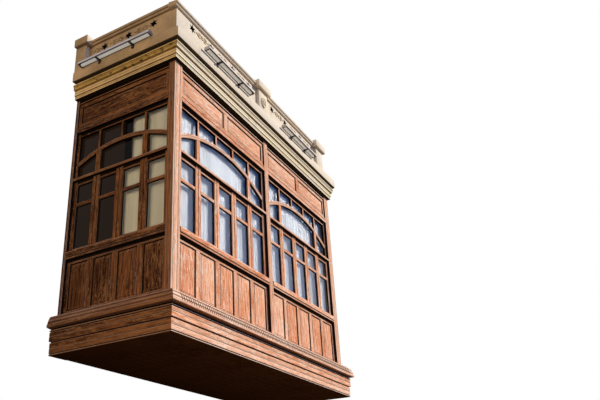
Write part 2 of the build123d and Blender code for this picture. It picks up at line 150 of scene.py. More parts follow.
def linear(hex_colour):
    """Linear colour with alpha, from an sRGB hex value."""
    channels = [int(hex_colour[i : i + 2], 16) / 255 for i in (1, 3, 5)]
    return [c / 12.92 if c <= 0.04045 else ((c + 0.055) / 1.055) ** 2.4 for c in channels] + [1.0]


def colour_property(name, description, hex_colour):
    return FloatVectorProperty(
        name=name, description=description, subtype="COLOR", size=4, min=0, max=1,
        default=linear(hex_colour),
    )


def length_property(name, description, default):
    return FloatProperty(name=name, description=description, unit="LENGTH", min=0, default=default)


def angle_property(name, description, degrees):
    return FloatProperty(
        name=name, description=description, subtype="ANGLE", default=math.radians(degrees)
    )


def strength_property(name, description, default):
    return FloatProperty(name=name, description=description, min=0, default=default)


class TimberSettings(bpy.types.PropertyGroup):
    """Sizes and stains of the joinery."""

    stain: colour_property("Stain", "Stained timber in full sun", "#DC8350")
    stain_second: colour_property("Second stain", "Pinker boards among the stained ones", "#FBC09C")
    # This pale is wear, and it also paints highlights along marked edges and arrises
    worn_and_highlight: colour_property("Worn", "Stain worn pale along the grain and at edges", "#FFE6D0")
    # Painted shade: faces away from the sun are drawn in these darker copies of the stains
    shaded_side: colour_property("Sheltered stain", "Stain on the side away from the sun", "#381A09")
    shaded_side_second: colour_property("Second sheltered", "Lighter sheltered boards", "#9E5E30")
    shaded_worn_and_highlight: colour_property("Sheltered wear", "Worn edges on the sheltered side", "#A8703F")
    # Soot in joints, and also painted shade in recesses, under rails and on undersides
    grime_and_shade: colour_property("Grime", "Soot in grooves and joints", "#0D0603")
    soffit: colour_property("Soffit", "Boards under the floor", "#6B3E20")
    panel_stile: length_property("End stile", "Width of the panelling's end stiles", 0.045)
    panel_muntin: length_property("Muntin", "Width between two panels", 0.078)
    panel_bottom_rail: length_property("Bottom rail", "Height below the panels", 0.064)
    panel_top_rail: length_property("Top rail", "Height above the panels", 0.056)
    sash_stile: length_property("Sash stile", "Width of a casement's stile", 0.058)
    sash_bottom_rail: length_property("Sash bottom rail", "Height of its lower rail", 0.034)
    sash_top_rail: length_property("Sash top rail", "Height of its upper rail", 0.058)
    glazing_bar: length_property("Glazing bar", "Height of the bar across a casement", 0.036)
    glazing_bar_height: length_property("Glazing bar level", "From the sash's foot", 0.662)
    joint_gap: length_property("Joint gap", "Gap between two casements", 0.0015)
    fanlight_stile: length_property("Fanlight stile", "Width of the end stiles", 0.045)
    fanlight_head: length_property("Fanlight head", "Height of the head rail", 0.058)
    fanlight_bar: length_property("Fanlight bar", "Width of a bar above the arch", 0.040)
    fanlight_post: length_property("Fanlight post", "Width of a post below the arch", 0.086)
    arch_spring: length_property("Arch spring", "Springing above the fanlight's foot", 0.237)
    arch_rise_front: length_property("Front arch rise", "Rise of the arches on the front", 0.262)
    arch_rise_side: length_property("Side arch rise", "Rise of the arch on a side", 0.170)
    arch_width: length_property("Arch width", "Width of the arched bar", 0.066)
    frieze_stile: length_property("Frieze stile", "Width of the frieze's end stiles", 0.045)
    frieze_muntin: length_property("Frieze muntin", "Width between frieze panels", 0.083)
    frieze_top_rail: length_property("Frieze top rail", "Height above the frieze panels", 0.118)
    frieze_bottom_rail: length_property("Frieze bottom rail", "Height below them", 0.058)
    rib_spacing: length_property("Rib spacing", "Between the ribs on the base's slope", 0.046)


class MasonrySettings(bpy.types.PropertyGroup):
    """Colours of the painted cornice, the plaster and the coping."""

    paint: colour_property("Cornice paint", "Cream oil paint in the sun", "#FFEEC4")
    paint_second: colour_property("Second paint", "Paint faded to white", "#FFF5DE")
    # Painted shade: the cornice's faces away from the sun take this darker copy of the paint
    paint_shaded_side: colour_property("Sheltered paint", "Ochre paint on the shaded side", "#FFCC82")
    paint_ochre: colour_property("Peeling paint", "Yellowed paint on the top band", "#DDA84C")
    bare_wood: colour_property("Bare wood", "Wood where the paint has flaked off", "#553410")
    plaster: colour_property("Limewash", "Limewashed plaster in the sun", "#F3E8D6")
    plaster_second: colour_property("Second limewash", "Yellower patches of limewash", "#F4E5CA")
    # Painted shade: the plaster's faces away from the sun take this darker copy of the limewash
    plaster_shaded_side: colour_property("Sheltered limewash", "On the shaded side", "#CFA671")
    stain: colour_property("Water stain", "Grey-brown runs below the coping", "#8C6A4C")
    # These two colours are dirt in the lines, and also painted shade in gaps, undersides and
    # openings
    paint_dirt_and_shade: colour_property("Paint line", "Dirt in the lines between the bands", "#2A1B09")
    plaster_dirt_and_shade: colour_property("Plaster line", "Dirt in grooves and openings", "#24170A")
    relief: colour_property("Relief", "Ochre wash on the moulded ornaments", "#E9C07C")


class GlazingSettings(bpy.types.PropertyGroup):
    """Glass, curtains and light bars."""

    glass: colour_property("Glass", "Clear old window glass", "#EAF0F8")
    # Painted shade: side glass near the wall is tinted dark for the unlit room behind
    glass_unlit: colour_property("Unlit glass", "Side glass before the unlit room", "#1E130B")
    curtain: colour_property("Curtain", "White cotton voile", "#F0E8DC")
    # Painted light: this blue tints the front voile's shade as if lit by blue sky
    inside_colour: colour_property("Lining", "Blue daylight that the voile passes", "#3C86D8")
    side_curtain: colour_property("Side curtain", "Unbleached cotton", "#E6CB98")
    fold_width: length_property("Fold width", "Width of a curtain's fold", 0.074)
    housing: colour_property("Housing", "Powder-coated light housing", "#E3D8D2")
    reflector: colour_property("Reflector", "Inside of the light housing", "#7C6F52")
    lens: colour_property("Lens", "Opal lamp cover", "#F1ECDF")
    bracket: colour_property("Bracket", "Black painted bracket", "#17130F")


class StageSettings(bpy.types.PropertyGroup):
    """Floor, lamps and camera."""

    floor_drop: length_property("Floor drop", "Floor below the bottom of the bay", 3.4)
    floor: colour_property("Floor", "Plain pale floor", "#F1EFEB")
    floor_seen_by_light: colour_property("Floor bounce", "Floor as it lights the bay", "#5E5A54")
    key_strength: strength_property("Key", "Strength of the sun lamp", 4.0)
    key_turn: angle_property("Key turn", "From the front's normal towards the right", 41)
    key_rise: angle_property("Key rise", "Height of the sun lamp", 31)
    key_spread: angle_property("Key spread", "Apparent size of the sun lamp", 1.2)
    fill_strength: strength_property("Fill", "Light from all round", 0.33)
    fill: colour_property("Fill colour", "Cool light from all round", "#6FA6FF")
    side_strength: strength_property("Side", "Soft lamp on the shaded side", 1.35)
    side_spread: angle_property("Side spread", "Apparent size of the soft lamp", 40)


class Face:
    """A face of the bay: its origin, the way along it and the way out of it."""

    def __init__(self, origin, along, out):
        self.origin, self.along, self.out = Vector(origin), Vector(along), Vector(out)
        self.axis = 0 if abs(self.along.x) > 0.5 else 1

    def at(self, along, height, out):
        return self.origin + self.along * along + UP * height + self.out * out

    def moved_out(self, distance):
        return Face(self.origin + self.out * distance, self.along, self.out)


# Pieces of the floor lie along X and, as out, along Y
FLOOR = Face((0, 0, 0), (1, 0, 0), (0, 1, 0))
FRONT = Face((0, FRONT_Y, 0), (1, 0, 0), (0, -1, 0))
LEFT = Face((LEFT_X, 0, 0), (0, -1, 0), (-1, 0, 0))
RIGHT = Face((RIGHT_X, 0, 0), (0, -1, 0), (1, 0, 0))
UPRIGHT = 2


def eased(outline, cut):
    """Cut each corner of a closed outline of (a, b), (a, b, grime_and_shade) or
    (a, b, grime_and_shade, wear_and_highlight).

    Returns (a, b, wear_and_highlight, grime_and_shade) points, where the marks belong to the strip
    that starts there. The cut of an outer corner is marked pale, as wear and a painted highlight,
    and that of an inner corner dark, as painted shade.
    """
    count = len(outline)
    flat = [Vector(point[:2]) for point in outline]
    area = sum(flat[i - 1].x * flat[i].y - flat[i].x * flat[i - 1].y for i in range(count))
    result = []
    for i, here in enumerate(flat):
        back = flat[i - 1] - here
        ahead = flat[(i + 1) % count] - here
        reach = min(cut, 0.4 * back.length, 0.4 * ahead.length)
        outer = (back.x * ahead.y - back.y * ahead.x) * area < 0
        start = here + back.normalized() * reach
        end = here + ahead.normalized() * reach
        grime_and_shade, wear_and_highlight = (*outline[i][2:], 0.0, 0.0)[:2]
        # Outer corners pale, as wear and painted highlight; inner corners dark, as painted shade
        result.append((start.x, start.y, 1.0 if outer else 0.0, 0.0 if outer else 0.8))
        result.append((end.x, end.y, wear_and_highlight, grime_and_shade))
    return result


def inset_corners(along, height, inset):
    """The corners of a rectangle between two (low, high) pairs, moved inwards."""
    return [
        (along[a_end] + inset * (1 - 2 * a_end), height[h_end] + inset * (1 - 2 * h_end))
        for a_end, h_end in SQUARE
    ]


def rectangle(low_a, high_a, low_b, high_b, grime_and_shade=0.0, wear_and_highlight=0.0):
    """A closed outline with four corners."""
    corners = [(low_a, low_b), (high_a, low_b), (high_a, high_b), (low_a, high_b)]
    return [(a, b, grime_and_shade, wear_and_highlight) for a, b in corners]


def raised(outline, level):
    """An outline of (out, height) points, moved up."""
    return [(out, height + level, *marks) for out, height, *marks in outline]


class Joinery:
    """Closed solids of one piece, with a map along the grain and marks on each face."""

    def __init__(self, seed):
        self.random = random.Random(seed)
        self.points = []
        self.faces = []
        self.grain = []
        self.marks = {"tone": [], "wear_and_highlight": [], "grime_and_shade": []}

    def shift(self):
        """A place in the grain that no other board has."""
        return self.random.uniform(0, 60), self.random.uniform(0, 60)

    def face(self, corners, grain, tone, wear_and_highlight, grime_and_shade):
        self.faces.append(corners)
        self.grain.extend(grain)
        self.marks["tone"].append(tone)
        self.marks["wear_and_highlight"].append(wear_and_highlight)
        self.marks["grime_and_shade"].append(grime_and_shade)

    def solid(self, points, faces, axis, tone=None, grime_and_shade=0.0):
        """A solid whose grain follows an axis. Each face is (corners, wear, grime)."""
        start = len(self.points)
        self.points.extend(points)
        tone = self.random.random() if tone is None else tone
        along, across = self.shift()
        for corners, wear_and_highlight, dirt_and_shade in faces:
            grain = []
            for corner in corners:
                point = points[corner]
                rest = point.x + point.y + point.z - point[axis]
                grain.append((point[axis] + along, rest + across))
            self.face([start + c for c in corners], grain, tone, wear_and_highlight, max(dirt_and_shade, grime_and_shade))

    def board(self, face, along, height, out, axis, ease=0.003, tone=None, grime_and_shade=0.0):
        """A board with eased edges, from three (low, high) pairs."""
        ends = (along, height, out)
        ease = min([ease] + [0.3 * (high - low) for low, high in ends])
        points, index = [], {}
        for corner in itertools.product((0, 1), repeat=3):
            for side in range(3):
                place = []
                for k in range(3):
                    inward = 0 if k == side else ease * (1 - 2 * corner[k])
                    place.append(ends[k][corner[k]] + inward)
                index[corner, side] = len(points)
                points.append(face.at(*place))
        faces = []
        for side in range(3):
            first, second = [k for k in range(3) if k != side]
            for end in (0, 1):
                ring = []
                for a, b in SQUARE:
                    corner = [end, end, end]
                    corner[first], corner[second] = a, b
                    ring.append(index[tuple(corner), side])
                faces.append((ring, 0.0, 0.0))
            for a, b in itertools.product((0, 1), repeat=2):
                low, high = [0, 0, 0], [1, 1, 1]
                low[first] = high[first] = a
                low[second] = high[second] = b
                low, high = tuple(low), tuple(high)
                ring = [(low, first), (high, first), (high, second), (low, second)]
                faces.append(([index[place] for place in ring], 1.0, 0.0))
        for corner in itertools.product((0, 1), repeat=3):
            faces.append(([index[corner, side] for side in range(3)], 1.0, 0.0))
        self.solid(points, faces, axis, tone, grime_and_shade)

    def head_rail(self, face, along, low, high, out, lit=0.018):
        """A rail under a projecting one: plain below, and dark above with soot and the painted
        shadow of the rail over it.
        """
        self.board(face, along, (low, low + lit), out, face.axis, tone=0.8)
        self.board(face, along, (low + lit, high), out, face.axis, grime_and_shade=0.97)

    def sweep(self, stations, outline, closed=False, tone=None):
        """Join matching loops of points. The outline gives each loop's marks."""
        count = len(outline)
        start = len(self.points)
        tone = self.random.random() if tone is None else tone
        along_shift, across_shift = self.shift()
        around = [across_shift]
        for i in range(count):
            a, b = outline[i], outline[(i + 1) % count]
            around.append(around[-1] + math.dist(a[:2], b[:2]))
        for station in stations:
            self.points.extend(station)
        spans = len(stations) if closed else len(stations) - 1
        distance = along_shift
        for span in range(spans):
            after = (span + 1) % len(stations)
            end = distance + (stations[after][0] - stations[span][0]).length
            for i in range(count):
                j = (i + 1) % count
                corners = [start + span * count + i, start + after * count + i,
                           start + after * count + j, start + span * count + j]
                grain = [(distance, around[i]), (end, around[i]),
                         (end, around[i + 1]), (distance, around[i + 1])]
                self.face(corners, grain, tone, outline[i][2], outline[i][3])
            distance = end
        if not closed:
            for first in (start, start + (len(stations) - 1) * count):
                corners = [first + i for i in range(count)]
                grain = [(point[0] + along_shift, point[1]) for point in outline]
                self.face(corners, grain, tone, 0.0, 0.3)

    def straight(self, face, start, end, outline, cut=0.003, tone=None):
        """A length of moulding along a face, from an outline of (out, height) points."""
        marked = eased(outline, cut)
        stations = [[face.at(along, b, a) for a, b, _, _ in marked] for along in (start, end)]
        self.sweep(stations, marked, tone=tone)

    def front_run(self, outline, cut=0.003, tone=None):
        """A moulding along the front, mitred at both corners."""
        marked = eased(outline, cut)
        stations = [
            [Vector((side * (RIGHT_X + a), FRONT_Y - a, b)) for a, b, _, _ in marked]
            for side in (-1, 1)
        ]
        self.sweep(stations, marked, tone=tone)

    def left_run(self, outline, cut=0.003, tone=None):
        """A moulding along the left side, from the wall to the front mitre."""
        marked = eased(outline, cut)
        wall = [Vector((LEFT_X - a, 0, b)) for a, b, _, _ in marked]
        mitre = [Vector((LEFT_X - a, FRONT_Y - a, b)) for a, b, _, _ in marked]
        self.sweep([wall, mitre], marked, tone=tone)

    def upright(self, outline, low, high, cut=0.003, tone=None):
        """A post from its plan, an outline of (x, y) points."""
        marked = eased(outline, cut)
        stations = [[Vector((a, b, height)) for a, b, _, _ in marked] for height in (low, high)]
        self.sweep(stations, marked, tone=tone)

    def frame_bead(self, face, along, height, outline):
        """A mitred bead round an opening, from an outline of (inset, out) points."""
        marked = eased(outline, 0.001)
        loops = [
            [face.at(*corner, out) for corner in inset_corners(along, height, inset)]
            for inset, out, _, _ in marked
        ]
        self.sweep([list(station) for station in zip(*loops)], marked, closed=True)

    def plate(self, face, along, height, steps):
        """A raised panel: loops at (inset, out, wear, grime), filled at both ends."""
        points, faces = [], []
        for step, (inset, out, _, _) in enumerate(steps):
            points.extend(face.at(*corner, out) for corner in inset_corners(along, height, inset))
            if step:
                wear_and_highlight, grime_and_shade = steps[step - 1][2:]
                for i in range(4):
                    j = (i + 1) % 4
                    low = 4 * (step - 1)
                    faces.append(([low + i, low + j, low + 4 + j, low + 4 + i], wear_and_highlight, grime_and_shade))
        last = 4 * (len(steps) - 1)
        faces.append(([0, 1, 2, 3], 0.0, 0.0))
        faces.append(([last, last + 1, last + 2, last + 3], 0.0, 0.0))
        wide = along[1] - along[0] > height[1] - height[0]
        self.solid(points, faces, face.axis if wide else UPRIGHT)

    def arch(self, face, centre, radius, reach, outline, count=48):
        """A bar bent to an arc, from an outline of (outwards from the arc, out) points."""
        marked = eased(outline, 0.003)
        half = math.asin(reach / radius)
        stations = []
        for step in range(count + 1):
            angle = math.pi / 2 + half - 2 * half * step / count
            stations.append([
                face.at(centre[0] + (radius + a) * math.cos(angle),
                        centre[1] + (radius + a) * math.sin(angle), b)
                for a, b, _, _ in marked
            ])
        self.sweep(stations, marked)

    def mesh(self, name):
        """The solids as one mesh with faces outwards."""
        mesh = bpy.data.meshes.new(name)
        mesh.from_pydata(self.points, [], self.faces)
        layer = mesh.uv_layers.new(name="grain")
        layer.data.foreach_set("uv", [value for pair in self.grain for value in pair])
        for mark, values in self.marks.items():
            mesh.attributes.new(mark, "FLOAT", "FACE").data.foreach_set("value", values)
        return turn_outwards(mesh)


def turn_outwards(mesh):
    shape = bmesh.new()
    shape.from_mesh(mesh)
    bmesh.ops.recalc_face_normals(shape, faces=shape.faces)
    shape.to_mesh(mesh)
    shape.free()
    return mesh


def painted_shade_on(centre, normal):
    """Painted shade on a recessed face that looks down or away from the sun, and on undersides
    above the cornice.
    """
    looks_down = normal.z < AWAY
    behind_front = centre.y - FRONT_Y
    behind_left = centre.x - LEFT_X
    if POST_Z < centre.z < CORNICE_Z - 0.001:
        # Recessed faces on the front and the left that look down or away from the sun get painted
        # shade
        if FLUSH < behind_front < POST_DEPTH and behind_left > POST_DEPTH:
            return 0.95 if normal.x < AWAY or looks_down else 0.0
        if FLUSH < behind_left < POST_DEPTH and behind_front > POST_DEPTH:
            return 0.95 if normal.y < AWAY or looks_down else 0.0
        return 0.0
    if not looks_down or centre.z <= CORNICE_Z - 0.001:
        return 0.0
    # Undersides get painted shade by height, lightest under the coping and darkest at the cornice's
    # foot
    for level, painted_shade in ((PARAPET_Z, 0.1), (SLAB_Z - 0.03, 0.8), (CORNICE_Z + 0.01, 0.35)):
        if centre.z > level:
            return painted_shade
    return 0.97


def mark_painted_light(mesh):
    """Mark each face's painted sun from its normal: faces towards the sun take the lit colours
    and faces away from it the shaded ones, as painted light and shade.

    The parapet's faces away from the sun get painted light back from the roof. Painted shade
    from painted_shade_on is added to grime_and_shade.
    """
    sun = []
    grime_and_shade = mesh.attributes.get("grime_and_shade") or mesh.attributes.new("grime_and_shade", "FLOAT", "FACE")
    for face in mesh.polygons:
        x, y, z = face.normal
        centre = face.center
        on_roof = centre.z > PARAPET_Z and centre.x - LEFT_X > 0.5
        returned = 0.6 if on_roof else 0.0
        # Painted sun: most on the front, less on the right, little on the left and on undersides
        sun.append(
            x * x * (0.8 if x > 0 else returned) + y * y * (1.0 if y < 0 else 0.1)
            + z * z * (0.85 if z > 0 else max(0.1, returned))
        )
        mark = grime_and_shade.data[face.index]
        mark.value = max(mark.value, painted_shade_on(centre, face.normal))
    mark = mesh.attributes.get("sun") or mesh.attributes.new("sun", "FLOAT", "FACE")
    mark.data.foreach_set("value", sun)


def add_piece(name, mesh, finish, nodes=(), smooth=True):
    """Put a finished mesh in the scene, in its material, standing for CAD nodes."""
    mesh.materials.clear()
    mesh.materials.append(finish)
    mark_painted_light(mesh)
    if smooth:
        mesh.shade_smooth()
        mesh.set_sharp_from_angle(angle=math.radians(32))
    piece = bpy.data.objects.new(name, mesh)
    bpy.context.scene.collection.objects.link(piece)
    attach(piece, BODY)
    if nodes:
        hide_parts(*nodes)
    return piece


def mirrored(mesh, name):
    """The mesh on the other side, with its faces still outwards."""
    twin = mesh.copy()
    twin.name = name
    twin.transform(Matrix.Scale(-1, 4, (1, 0, 0)))
    twin.flip_normals()
    return twin


def add_pair(name, mesh, finish, nodes=()):
    """A left piece and its mirrored right one, standing for left CAD nodes and their twins."""
    twin = mirrored(mesh, name.replace("left", "right"))
    add_piece(name, mesh, finish, nodes)
    add_piece(twin.name, twin, finish, [node.replace("left", "right") for node in nodes])


def add_front_and_sides(stem, ending, front, left, finish):
    """Pieces that stand for the front, left and right CAD nodes with the same stem."""
    node = f"{stem}_front"
    add_piece(f"{node}_{ending}", front.mesh(node), finish, [node])
    node = f"{stem}_left"
    add_pair(f"{node}_{ending}", left.mesh(node), finish, [node])


def rounded_copy(node, width, segments=2):
    """A copy of a CAD node's mesh, merged, with its edges rounded."""
    shape = bmesh.new()
    shape.from_mesh(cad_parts[node].data)
    bmesh.ops.remove_doubles(shape, verts=shape.verts, dist=1e-5)
    bmesh.ops.dissolve_limit(
        shape, angle_limit=math.radians(1), verts=shape.verts, edges=shape.edges
    )
    sharp = [
        edge for edge in shape.edges
        if len(edge.link_faces) == 2 and edge.calc_face_angle() > math.radians(20)
    ]
    bmesh.ops.bevel(
        shape, geom=sharp, offset=width, offset_type="OFFSET", segments=segments, profile=0.5,
        affect="EDGES", clamp_overlap=True,
    )
    mesh = bpy.data.meshes.new(node)
    shape.to_mesh(mesh)
    shape.free()
    return mesh


# Settings of a node that blends two colours, and of one that shades a colour by a value
BLEND = {"data_type": "RGBA", "output": 2}
SHADE = {"data_type": "RGBA", "output": 2, "blend_type": "MULTIPLY"}


def add_node(tree, kind, inputs=None, output=0, **settings):
    """Add a node and return one output, by name or number, or all of them if it is None.

    Inputs maps a socket's name or number to a value, or to an output to link.
    """
    node = tree.nodes.new(kind)
    for key, value in settings.items():
        setattr(node, key, value)
    for key, value in (inputs or {}).items():
        if isinstance(value, bpy.types.NodeSocket):
            tree.links.new(value, node.inputs[key])
        else:
            node.inputs[key].default_value = value
    return node.outputs if output is None else node.outputs[output]


def new_material(name, **sockets):
    """A material with its shader's own sockets set, as (material, tree, shader)."""
    material = bpy.data.materials.new(name)
    material.use_nodes = True
    shader = material.node_tree.nodes["Principled BSDF"]
    for key, value in sockets.items():
        shader.inputs[key.replace("_", " ")].default_value = value
    return material, material.node_tree, shader


def link_shader(tree, shader, **outputs):
    """Link outputs to the shader's sockets."""
    for key, output in outputs.items():
        tree.links.new(output, shader.inputs[key.replace("_", " ")])


def stained_timber(name, colours, gloss=0.03):
    """Sawn softwood, brush stained and weathered: streaky along its grain and pale where worn, with
    painted light and shade.

    colours are the two stains, the pale of wear and painted highlight, the two stains of the shaded
    side, which are painted shade, the shaded side's pale of wear and highlight, and the colour of
    grime and painted shade.
    """
    material, tree, shader = new_material(name, IOR=1.5, Specular_IOR_Level=gloss)
    stain, second, worn_and_highlight, shaded_side, shaded_side_second, shaded_worn_and_highlight, grime_and_shade = colours
    grain = add_node(tree, "ShaderNodeUVMap", uv_map="grain")
    place = add_node(tree, "ShaderNodeTexCoord", output="Object")
    marks = {
        mark: add_node(tree, "ShaderNodeAttribute", output="Fac", attribute_name=mark)
        for mark in ("tone", "wear_and_highlight", "grime_and_shade", "sun")
    }
    # Metres along and across the grain: bands of brushed stain, streaks and fibres, which are
    # drawn coarser than real ones, to show, and places that are rubbed through to pale wood
    patterns = []
    for along, across, detail, roughness, distortion in (
        (0.35, 0.030, 4.0, 0.55, 0.5),
        (0.16, 0.009, 5.0, 0.65, 0.4),
        (0.06, 0.0022, 3.0, 0.5, 0.0),
        (0.11, 0.024, 8.0, 0.75, 1.2),
    ):
        drawn_out = add_node(tree, "ShaderNodeMapping", {
            "Vector": grain, "Scale": (1 / along, 1 / across, 1)})
        patterns.append(add_node(tree, "ShaderNodeTexNoise", {
            "Vector": drawn_out, "Scale": 1.0, "Detail": detail,
            "Roughness": roughness, "Distortion": distortion}))
    brushed, streaks, fibres, rubbed = patterns
    weather = add_node(tree, "ShaderNodeTexNoise", {"Vector": place, "Scale": 1.7, "Detail": 3.0})
    tone = add_node(tree, "ShaderNodeMapRange", {
        "Value": brushed, "From Min": 0.36, "From Max": 0.64, "To Min": -0.35, "To Max": 0.65})
    tone = add_node(tree, "ShaderNodeMath", {
        0: marks["tone"], 1: 0.7, 2: tone}, operation="MULTIPLY_ADD", use_clamp=True)
    # Lit and shaded copies of the stains, chosen by the painted sun of each face: painted light and
    # shade
    in_sun = add_node(tree, "ShaderNodeMix", {0: tone, 6: stain, 7: second}, **BLEND)
    in_shade = add_node(tree, "ShaderNodeMix", {
        0: tone, 6: shaded_side, 7: shaded_side_second}, **BLEND)
    # Painted shade darkens the shaded side's timber towards the wall
    wall_shade = add_node(tree, "ShaderNodeMapRange", {
        "Value": add_node(tree, "ShaderNodeSeparateXYZ", {0: place}, output="Y"),
        "From Min": FRONT_Y, "From Max": 0.0, "To Min": 1.15, "To Max": 0.45})
    in_shade = add_node(tree, "ShaderNodeMix", {0: 1.0, 6: in_shade, 7: wall_shade}, **SHADE)
    colour = add_node(tree, "ShaderNodeMix", {0: marks["sun"], 6: in_shade, 7: in_sun}, **BLEND)
    pale = add_node(tree, "ShaderNodeMix", {0: marks["sun"], 6: shaded_worn_and_highlight, 7: worn_and_highlight}, **BLEND)
    streaked = add_node(tree, "ShaderNodeMapRange", {
        "Value": streaks, "From Min": 0.34, "From Max": 0.66, "To Min": 0.60, "To Max": 1.30})
    colour = add_node(tree, "ShaderNodeMix", {0: 1.0, 6: colour, 7: streaked}, **SHADE)
    thin = add_node(tree, "ShaderNodeMath", {
        0: weather, 1: 0.30, 2: rubbed}, operation="MULTIPLY_ADD")
    worn_through = add_node(tree, "ShaderNodeMapRange", {
        "Value": thin, "From Min": 0.66, "From Max": 0.76, "To Max": 0.80},
        interpolation_type="SMOOTHSTEP")
    # Marked edges turn pale: wear, and a painted highlight
    edge_wear_and_highlight = add_node(tree, "ShaderNodeMapRange", {
        "Value": streaks, "From Min": 0.32, "From Max": 0.58, "To Min": 0.35, "To Max": 1.0})
    edge_wear_and_highlight = add_node(tree, "ShaderNodeMath", {
        0: edge_wear_and_highlight, 1: marks["wear_and_highlight"]}, operation="MULTIPLY")
    wear_and_highlight = add_node(tree, "ShaderNodeMath", {0: worn_through, 1: edge_wear_and_highlight}, operation="MAXIMUM")
    colour = add_node(tree, "ShaderNodeMix", {0: wear_and_highlight, 6: colour, 7: pale}, **BLEND)
    # Drying cracks take the colour of grime and painted shade
    checks = add_node(tree, "ShaderNodeMapRange", {
        "Value": rubbed, "From Min": 0.37, "From Max": 0.27, "To Max": 0.7})
    dirt_and_shade = add_node(tree, "ShaderNodeMath", {0: checks, 1: marks["grime_and_shade"]}, operation="MAXIMUM")
    colour = add_node(tree, "ShaderNodeMix", {0: dirt_and_shade, 6: colour, 7: grime_and_shade}, **BLEND)
    rough = add_node(tree, "ShaderNodeMapRange", {"Value": rubbed, "To Min": 0.5, "To Max": 0.85})
    height = add_node(tree, "ShaderNodeMath", {0: fibres, 1: streaks}, operation="ADD")
    bump = add_node(tree, "ShaderNodeBump", {"Strength": 0.5, "Distance": 0.0012, "Height": height})
    link_shader(tree, shader, Base_Color=colour, Roughness=rough, Normal=bump)
    return material


def flaking_paint(name, colours, flake_size, flaked, run_length):
    """A brushed or floated coat over a darker ground, flaked in places and stained by water.

    colours are the coat, its second tone, the coat on the shaded side, which is painted shade, that
    coat yellowed where it is worn, the ground, and the colour of grime and painted shade. Sizes are
    in metres.
    """
    material, tree, shader = new_material(name, IOR=1.5, Specular_IOR_Level=0.06)
    coat, second, shaded_side, yellowed, ground, grime_and_shade = colours
    place = add_node(tree, "ShaderNodeTexCoord", output="Object")
    marks = {
        mark: add_node(tree, "ShaderNodeAttribute", output="Fac", attribute_name=mark)
        for mark in ("wear_and_highlight", "grime_and_shade", "sun")
    }
    cloud = add_node(tree, "ShaderNodeTexNoise", {
        "Vector": place, "Scale": 2.6, "Detail": 6.0, "Roughness": 0.65})
    cloud = add_node(tree, "ShaderNodeMapRange", {
        "Value": cloud, "From Min": 0.35, "From Max": 0.65})
    flakes = add_node(tree, "ShaderNodeTexNoise", {
        "Vector": place, "Scale": 1 / flake_size, "Detail": 8.0, "Roughness": 0.7,
        "Distortion": 0.6})
    # Runs of water 110 mm wide
    drawn_out = add_node(tree, "ShaderNodeMapping", {
        "Vector": place, "Scale": (9, 9, 1 / run_length)})
    runs = add_node(tree, "ShaderNodeTexNoise", {
        "Vector": drawn_out, "Scale": 1.0, "Detail": 6.0, "Roughness": 0.6})
    # Pits 11 mm apart
    pits = add_node(tree, "ShaderNodeTexNoise", {"Vector": place, "Scale": 90.0, "Detail": 4.0})
    # Lit and shaded copies of the coat, chosen by the painted sun of each face: painted light and
    # shade
    in_sun = add_node(tree, "ShaderNodeMix", {0: cloud, 6: coat, 7: second}, **BLEND)
    shade = add_node(tree, "ShaderNodeMapRange", {"Value": cloud, "To Min": 0.72, "To Max": 1.12})
    in_shade = add_node(tree, "ShaderNodeMix", {
        0: marks["wear_and_highlight"], 6: shaded_side, 7: yellowed}, **BLEND)
    in_shade = add_node(tree, "ShaderNodeMix", {0: 1.0, 6: in_shade, 7: shade}, **SHADE)
    colour = add_node(tree, "ShaderNodeMix", {0: marks["sun"], 6: in_shade, 7: in_sun}, **BLEND)
    # Paint flakes where the mark of wear and highlight is, and more on faces away from the sun
    threshold = add_node(tree, "ShaderNodeMapRange", {
        "Value": marks["sun"], "To Min": 0.70 - flaked, "To Max": 0.90})
    threshold = add_node(tree, "ShaderNodeMath", {
        0: marks["wear_and_highlight"], 1: -0.16, 2: threshold}, operation="MULTIPLY_ADD")
    bare = add_node(tree, "ShaderNodeMath", {0: flakes, 1: threshold}, operation="SUBTRACT")
    bare = add_node(tree, "ShaderNodeMapRange", {
        "Value": bare, "From Min": 0.0, "From Max": 0.03, "To Max": 0.85})
    stained = add_node(tree, "ShaderNodeMapRange", {
        "Value": runs, "From Min": 0.55, "From Max": 0.80, "To Max": 0.35})
    bare = add_node(tree, "ShaderNodeMath", {0: bare, 1: stained}, operation="MAXIMUM")
    colour = add_node(tree, "ShaderNodeMix", {0: bare, 6: colour, 7: ground}, **BLEND)
    # Grime and painted shade darken the marked faces
    colour = add_node(tree, "ShaderNodeMix", {0: marks["grime_and_shade"], 6: colour, 7: grime_and_shade}, **BLEND)
    height = add_node(tree, "ShaderNodeMath", {0: pits, 1: cloud}, operation="ADD")
    bump = add_node(tree, "ShaderNodeBump", {"Strength": 0.45, "Distance": 0.003, "Height": height})
    rough = add_node(tree, "ShaderNodeMapRange", {"Value": flakes, "To Min": 0.6, "To Max": 0.95})
    link_shader(tree, shader, Base_Color=colour, Roughness=rough, Normal=bump)
    return material


